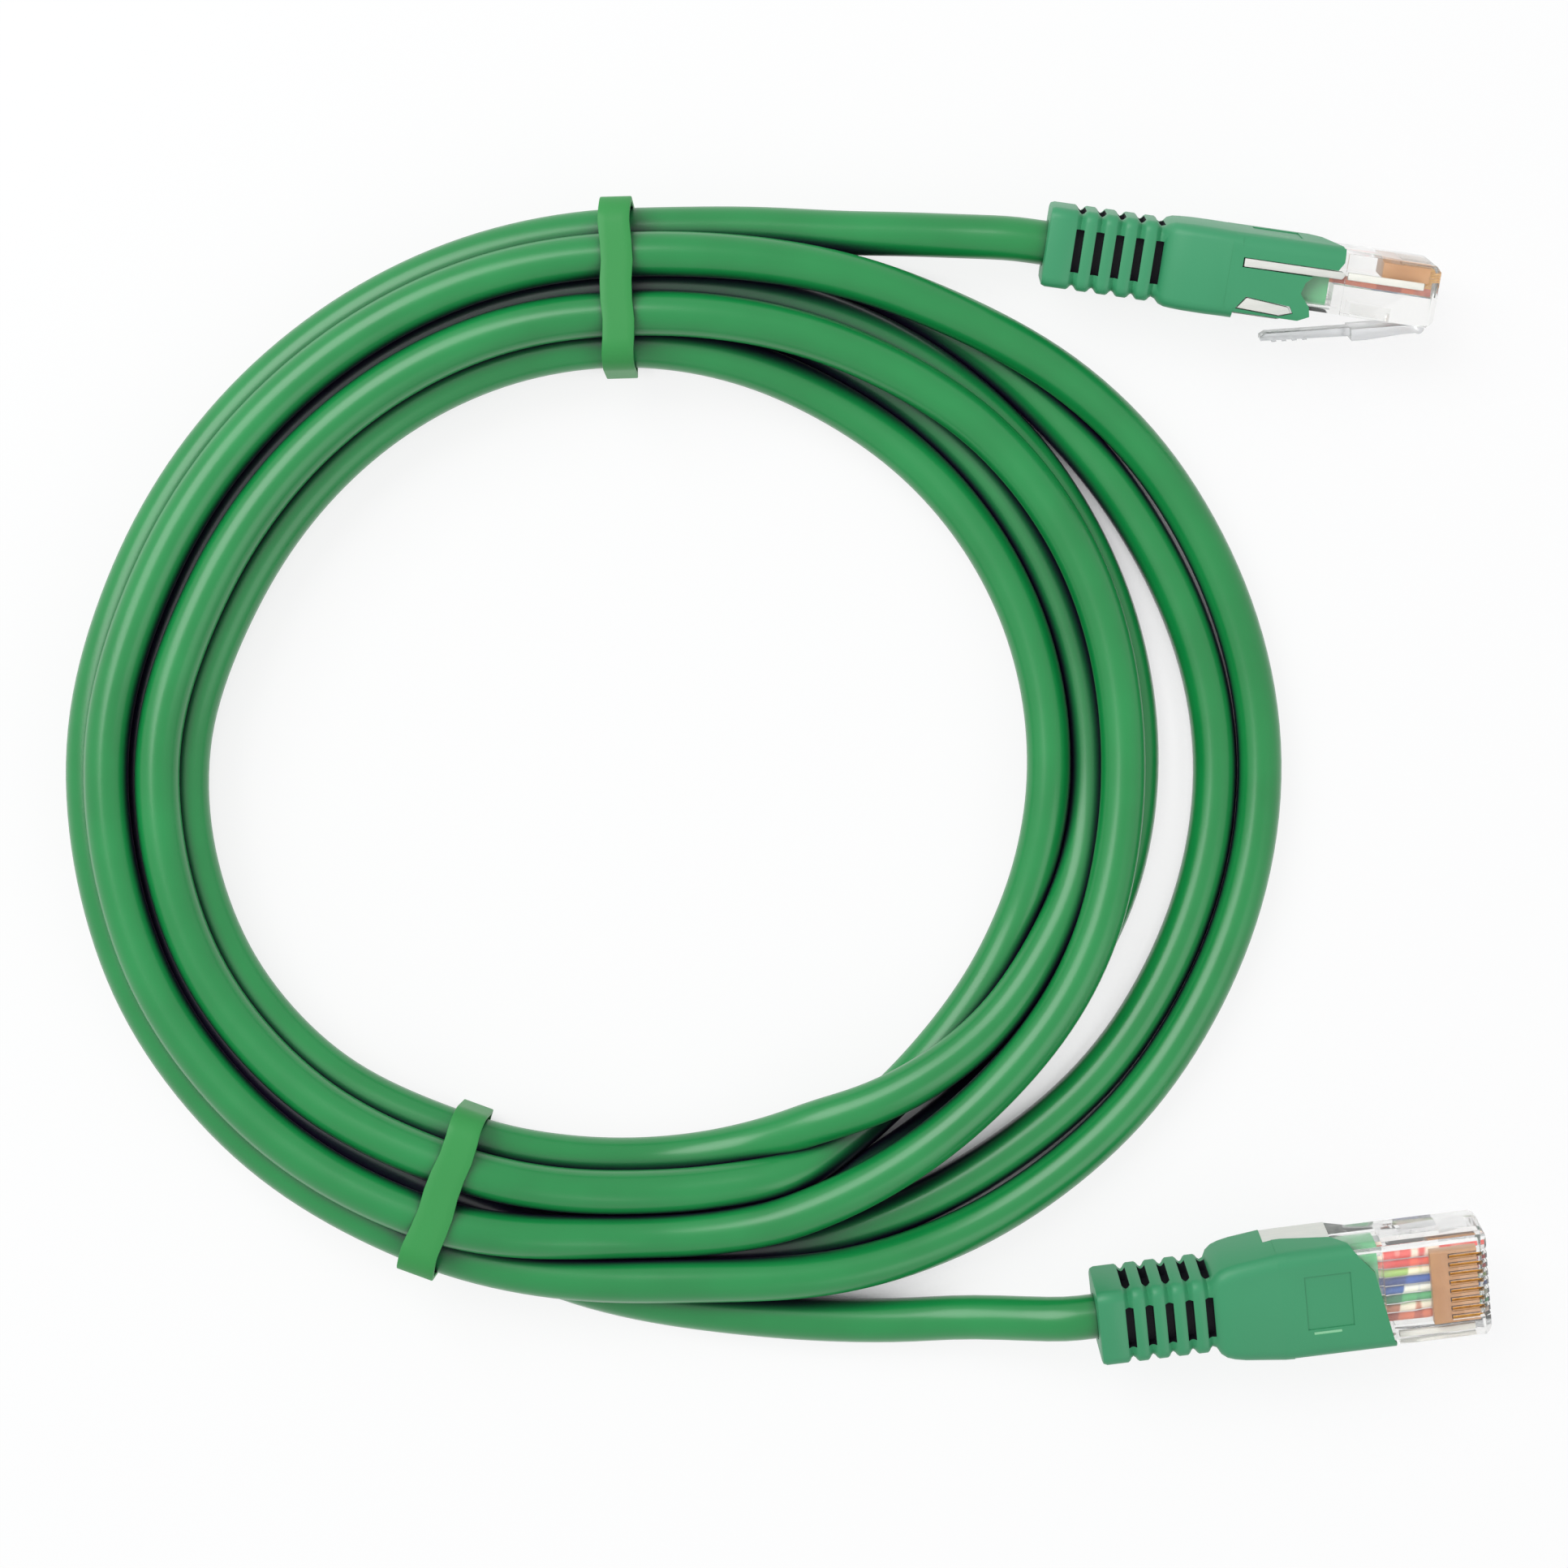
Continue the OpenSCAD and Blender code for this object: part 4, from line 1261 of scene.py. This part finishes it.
class Plug:
    """One booted plug: the modelled mouldings and the dressed wires and blades inside."""

    def __init__(self, seat: Seat) -> None:
        """Starts the plug that lies on that seat."""
        self.seat = seat
        self.pieces: list[bpy.types.Object] = []

    def fit(
        self, master: bpy.types.Object, name: str, finish: Finish, body: str, nodes: Sequence[str]
    ) -> None:
        """Puts a copy of a master piece on this plug.

        Args:
            master: the piece in the plug's frame.
            name: the copy's name without the plug's letter.
            finish: its finish.
            body: the body that it rides on.
            nodes: the nodes that it replaces.
        """
        piece = Bench.copy(master, f"{name}_{self.seat.plug}", self.seat.matrix())
        piece.visible_shadow = finish is not CLEAR
        dress_piece(piece, finish, body, nodes)
        self.pieces.append(piece)
        log.info("%s: %d faces", piece.name, len(piece.data.polygons))

    def dress_inside(self) -> None:
        """Dresses the jacket end, the wires and the blades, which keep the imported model's shape."""
        plug = self.seat.plug
        dress_node(f"jacket_end_{plug}", JACKET_END)
        dress_node(f"conductors_{plug}", COPPER)
        for number, wire in enumerate(WIRES, 1):
            dress_node(f"contact_{plug}{number}", GOLD)
            dress_node(f"wire_{plug}{number}", wire)

    @classmethod
    def build_pair(cls) -> list["Plug"]:
        """Models each moulding once and puts a copy on both plugs."""
        housing = Housing()
        masters = (
            (Boot().build(), "boot_moulding", BOOT_VINYL, "boot_{}"),
            (housing.build(), "housing_shell", CLEAR, "housing_{}"),
            (housing.tongues(), "housing_tongues", PAINTED_REFLECTION_WHITE, ""),
            (housing.comb(), "wire_comb", COMB_AMBER, ""),
            (Latch().build(), "latch_lever", MILKY, "latch_{}"),
        )
        plugs = [cls(seat) for seat in SEATS.values()]
        for plug in plugs:
            for master, name, finish, node in masters:
                letter = plug.seat.plug
                body = f"latch_{letter}" if name.startswith("latch") else ROOT
                plug.fit(master, name, finish, body, [node.format(letter)] if node else [])
            plug.dress_inside()
        for master, *_ in masters:
            bpy.data.objects.remove(master, do_unlink=True)
        return plugs


# ---- the ties ----


@dataclass
class TieBand:
    """A flat band bent round the tied turns, with its width at the inner and at the outer end."""

    node: str
    inner_width: float
    outer_width: float
    thickness: float = 0.0006
    corner: float = 0.0031
    corner_points: int = 9
    side_points: int = 6
    wave: float = 0.00012
    wave_turns: float = 5.1
    wave_start: float = 0.7
    strips: int = 4
    soft: float = 0.00012

    def ring(self, width: float, height: float) -> list[tuple[float, float]]:
        """Lists the band's outer outline as (across, up), a rectangle with round corners.

        Args:
            width: the outline's full width.
            height: its full height.

        Returns:
            The points in order round the outline.
        """
        flat, upright = width - 2 * self.corner, height - 2 * self.corner
        runs = ((-flat, 0), (0, -upright), (flat, 0), (0, upright))
        points = []
        for quarter, (sx, sy) in enumerate(((1, 1), (-1, 1), (-1, -1), (1, -1))):
            for k in range(self.corner_points):
                a = math.radians(90 * quarter + 90 * k / (self.corner_points - 1))
                across = sx * flat / 2 + self.corner * math.cos(a)
                points.append((across, sy * upright / 2 + self.corner * math.sin(a)))
            last, run = points[-1], runs[quarter]
            shares = [k / self.side_points for k in range(1, self.side_points)]
            points += [(last[0] + run[0] * share, last[1] + run[1] * share) for share in shares]
        return points

    def build(self) -> bpy.types.Object:
        """Builds the band round the node that it stands for."""
        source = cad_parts[self.node].data
        cloud = np.array([vertex.co for vertex in source.vertices])
        spread, axes = np.linalg.eigh(np.cov(cloud[:, :2].T))
        across = axes[:, int(np.argmin(spread))]
        outward = np.array([across[1], -across[0]])
        if outward @ cloud[:, :2].mean(0) < 0:
            outward = -outward
        reach = cloud[:, :2] @ outward
        middle = outward * (reach.min() + reach.max()) / 2 + across * (cloud[:, :2] @ across).mean()
        width, height = float(np.ptp(reach)), float(np.ptp(cloud[:, 2]))
        low = float(cloud[:, 2].min())
        outline = self.ring(width, height)
        Bench.clear()
        bpy.ops.mesh.primitive_circle_add(vertices=len(outline), fill_type="NOTHING")
        band = bpy.context.object
        band.name = self.node.replace("tie", "tie_band")
        for vertex, (out, up) in zip(band.data.vertices, outline):
            vertex.co = (out, -0.5, up)
        Bench.edit(band)
        for _ in range(self.strips):
            bpy.ops.mesh.extrude_region_move(TRANSFORM_OT_translate={"value": (0, 1 / self.strips, 0)})
        Bench.close()
        for vertex in band.data.vertices:
            out, along, up = vertex.co
            share = out / width + 0.5
            band_width = self.inner_width + share * (self.outer_width - self.inner_width)
            sway = self.wave * math.sin(self.wave_turns * share * math.pi + self.wave_start)
            vertex.co = (out, along * band_width + sway, up)
        modifier = band.modifiers.new("thickness", "SOLIDIFY")
        modifier.thickness = self.thickness
        modifier.offset = -1
        Bench.pick(band)
        bpy.ops.object.modifier_apply(modifier=modifier.name)
        Bench.soften(band, self.soft, 2, 50)
        turn = Matrix((
            (outward[0], across[0], 0, middle[0]),
            (outward[1], across[1], 0, middle[1]),
            (0, 0, 1, low + height / 2),
            (0, 0, 0, 1),
        ))
        band.data.transform(turn)
        if turn.determinant() < 0:
            band.data.flip_normals()
        dress_piece(band, TIE_VINYL, ROOT, [self.node])
        dress_node(self.node + "_core", STEEL)
        log.info("%s: %d faces", band.name, len(band.data.polygons))
        return band


# ---- the studio ----


@dataclass
class Studio:
    """A pale table, soft light and the camera above it."""

    aim: tuple[float, float] = (0.0004, -0.0004)
    camera_height: float = 0.42
    focus_height: float = 0.007
    frame_width: float = 0.1695
    sensor: float = 36.0
    floor_size: float = 3.0
    key_power: float = 3.4
    key_size: float = 0.5
    key_place: Point = (-0.34, 0.30, 0.60)
    fill_power: float = 1.0
    fill_place: Point = (0.5, -0.4, 0.5)
    world_light: float = 0.55
    world_colour: tuple[float, float, float, float] = (0.95, 0.97, 1.0, 1.0)
    paper: tuple[float, float, float, float] = (0.9, 0.9, 0.9, 1.0)
    glow: float = 0.85
    shade_reach: float = 0.007
    shade_range: tuple[float, float] = (0.1, 0.45)

    @staticmethod
    def seen_share(tree: bpy.types.NodeTree) -> bpy.types.NodeSocket:
        """Adds a socket that is 1 for rays from the camera, off gloss and through clear plastic.

        Args:
            tree: the node tree of a material or of the world.

        Returns:
            The socket.
        """
        path = tree.nodes.new("ShaderNodeLightPath")
        share, *others = (path.outputs[f"Is {ray} Ray"] for ray in ("Camera", "Glossy", "Transmission"))
        for ray in others:
            either = tree.nodes.new("ShaderNodeMath")
            either.operation = "MAXIMUM"
            tree.links.new(share, either.inputs[0])
            tree.links.new(ray, either.inputs[1])
            share = either.outputs[0]
        return share

    def floor(self) -> None:
        """Lays the pale table top, which keeps the shadow and is darker between strands."""
        Bench.clear()
        bpy.ops.mesh.primitive_plane_add(size=self.floor_size, location=(0, 0, 0))
        table = bpy.context.object
        table.name = "table_top"
        sheet = NodeSheet("pale_table_top")
        paper = sheet.add("ShaderNodeBsdfDiffuse", Color=self.paper)
        glow = sheet.add("ShaderNodeEmission", Color=(1, 1, 1, 1), Strength=1.0)
        mix = sheet.add("ShaderNodeMixShader")
        ramp = sheet.ramp(sheet.openness(self.shade_reach), *self.shade_range)
        ramp.inputs["To Max"].default_value = self.glow
        part = sheet.add("ShaderNodeMath", operation="MULTIPLY")
        sheet.link(ramp.outputs["Result"], part.inputs[1])
        sheet.link(self.seen_share(sheet.tree), part.inputs[0])
        sheet.link(part.outputs[0], mix.inputs[0])
        sheet.link(paper.outputs[0], mix.inputs[1])
        sheet.link(glow.outputs[0], mix.inputs[2])
        table.data.materials.append(sheet.finish(mix))

    def lamp(self, name: str, place: Point, power: float, size: float) -> None:
        """Hangs a square soft lamp that faces the middle of the table.

        Args:
            name: the lamp's name.
            place: where it hangs.
            power: its power in watts.
            size: the side of its square.
        """
        light = bpy.data.lights.new(name, "AREA")
        light.energy = power
        light.size = size
        lamp = bpy.data.objects.new(name, light)
        lamp.location = place
        lamp.rotation_euler = (-Vector(place)).to_track_quat("-Z", "Y").to_euler()
        bpy.context.scene.collection.objects.link(lamp)

    def light(self) -> None:
        """Lights the table softly from the upper left, with a weaker fill and a pale room."""
        self.lamp("key", self.key_place, self.key_power, self.key_size)
        self.lamp("fill", self.fill_place, self.fill_power, self.key_size)
        world = bpy.data.worlds.new("room")
        bpy.context.scene.world = world
        world.use_nodes = True
        tree = world.node_tree
        tree.nodes.clear()
        sky = tree.nodes.new("ShaderNodeBackground")
        seen = tree.nodes.new("ShaderNodeBackground")
        sky.inputs["Color"].default_value = self.world_colour
        sky.inputs["Strength"].default_value = self.world_light
        seen.inputs["Color"].default_value = (1, 1, 1, 1)
        mix = tree.nodes.new("ShaderNodeMixShader")
        output = tree.nodes.new("ShaderNodeOutputWorld")
        tree.links.new(self.seen_share(tree), mix.inputs[0])
        tree.links.new(sky.outputs[0], mix.inputs[1])
        tree.links.new(seen.outputs[0], mix.inputs[2])
        tree.links.new(mix.outputs[0], output.inputs["Surface"])

    def camera(self) -> None:
        """Places the camera straight above the table."""
        lens = bpy.data.cameras.new("camera")
        lens.sensor_width = self.sensor
        lens.lens = self.sensor * (self.camera_height - self.focus_height) / self.frame_width
        lens.clip_start = 0.01
        camera = bpy.data.objects.new("camera", lens)
        camera.location = (*self.aim, self.camera_height)
        bpy.context.scene.collection.objects.link(camera)
        bpy.context.scene.camera = camera

    def build(self) -> None:
        """Sets up camera, table and light."""
        bpy.context.scene.view_settings.view_transform = "Standard"
        self.camera()
        self.floor()
        self.light()


def main() -> None:
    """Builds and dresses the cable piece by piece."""
    logging.basicConfig(level=logging.INFO, format="%(message)s")
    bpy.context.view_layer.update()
    Studio().build()
    cord = PatchCord()
    line = cord.build()
    plugs = Plug.build_pair()
    TieBand("tie_top", 0.0034, 0.0034).build()
    TieBand("tie_bottom", 0.0034, 0.0041).build()
    inside = [f"{kind}_b{number}" for kind in ("wire", "contact") for number in range(1, CONTACTS + 1)]
    inside += ["jacket_end_b", "conductors_b"]
    cord.dress(line)


if __name__ == "__main__":
    main()
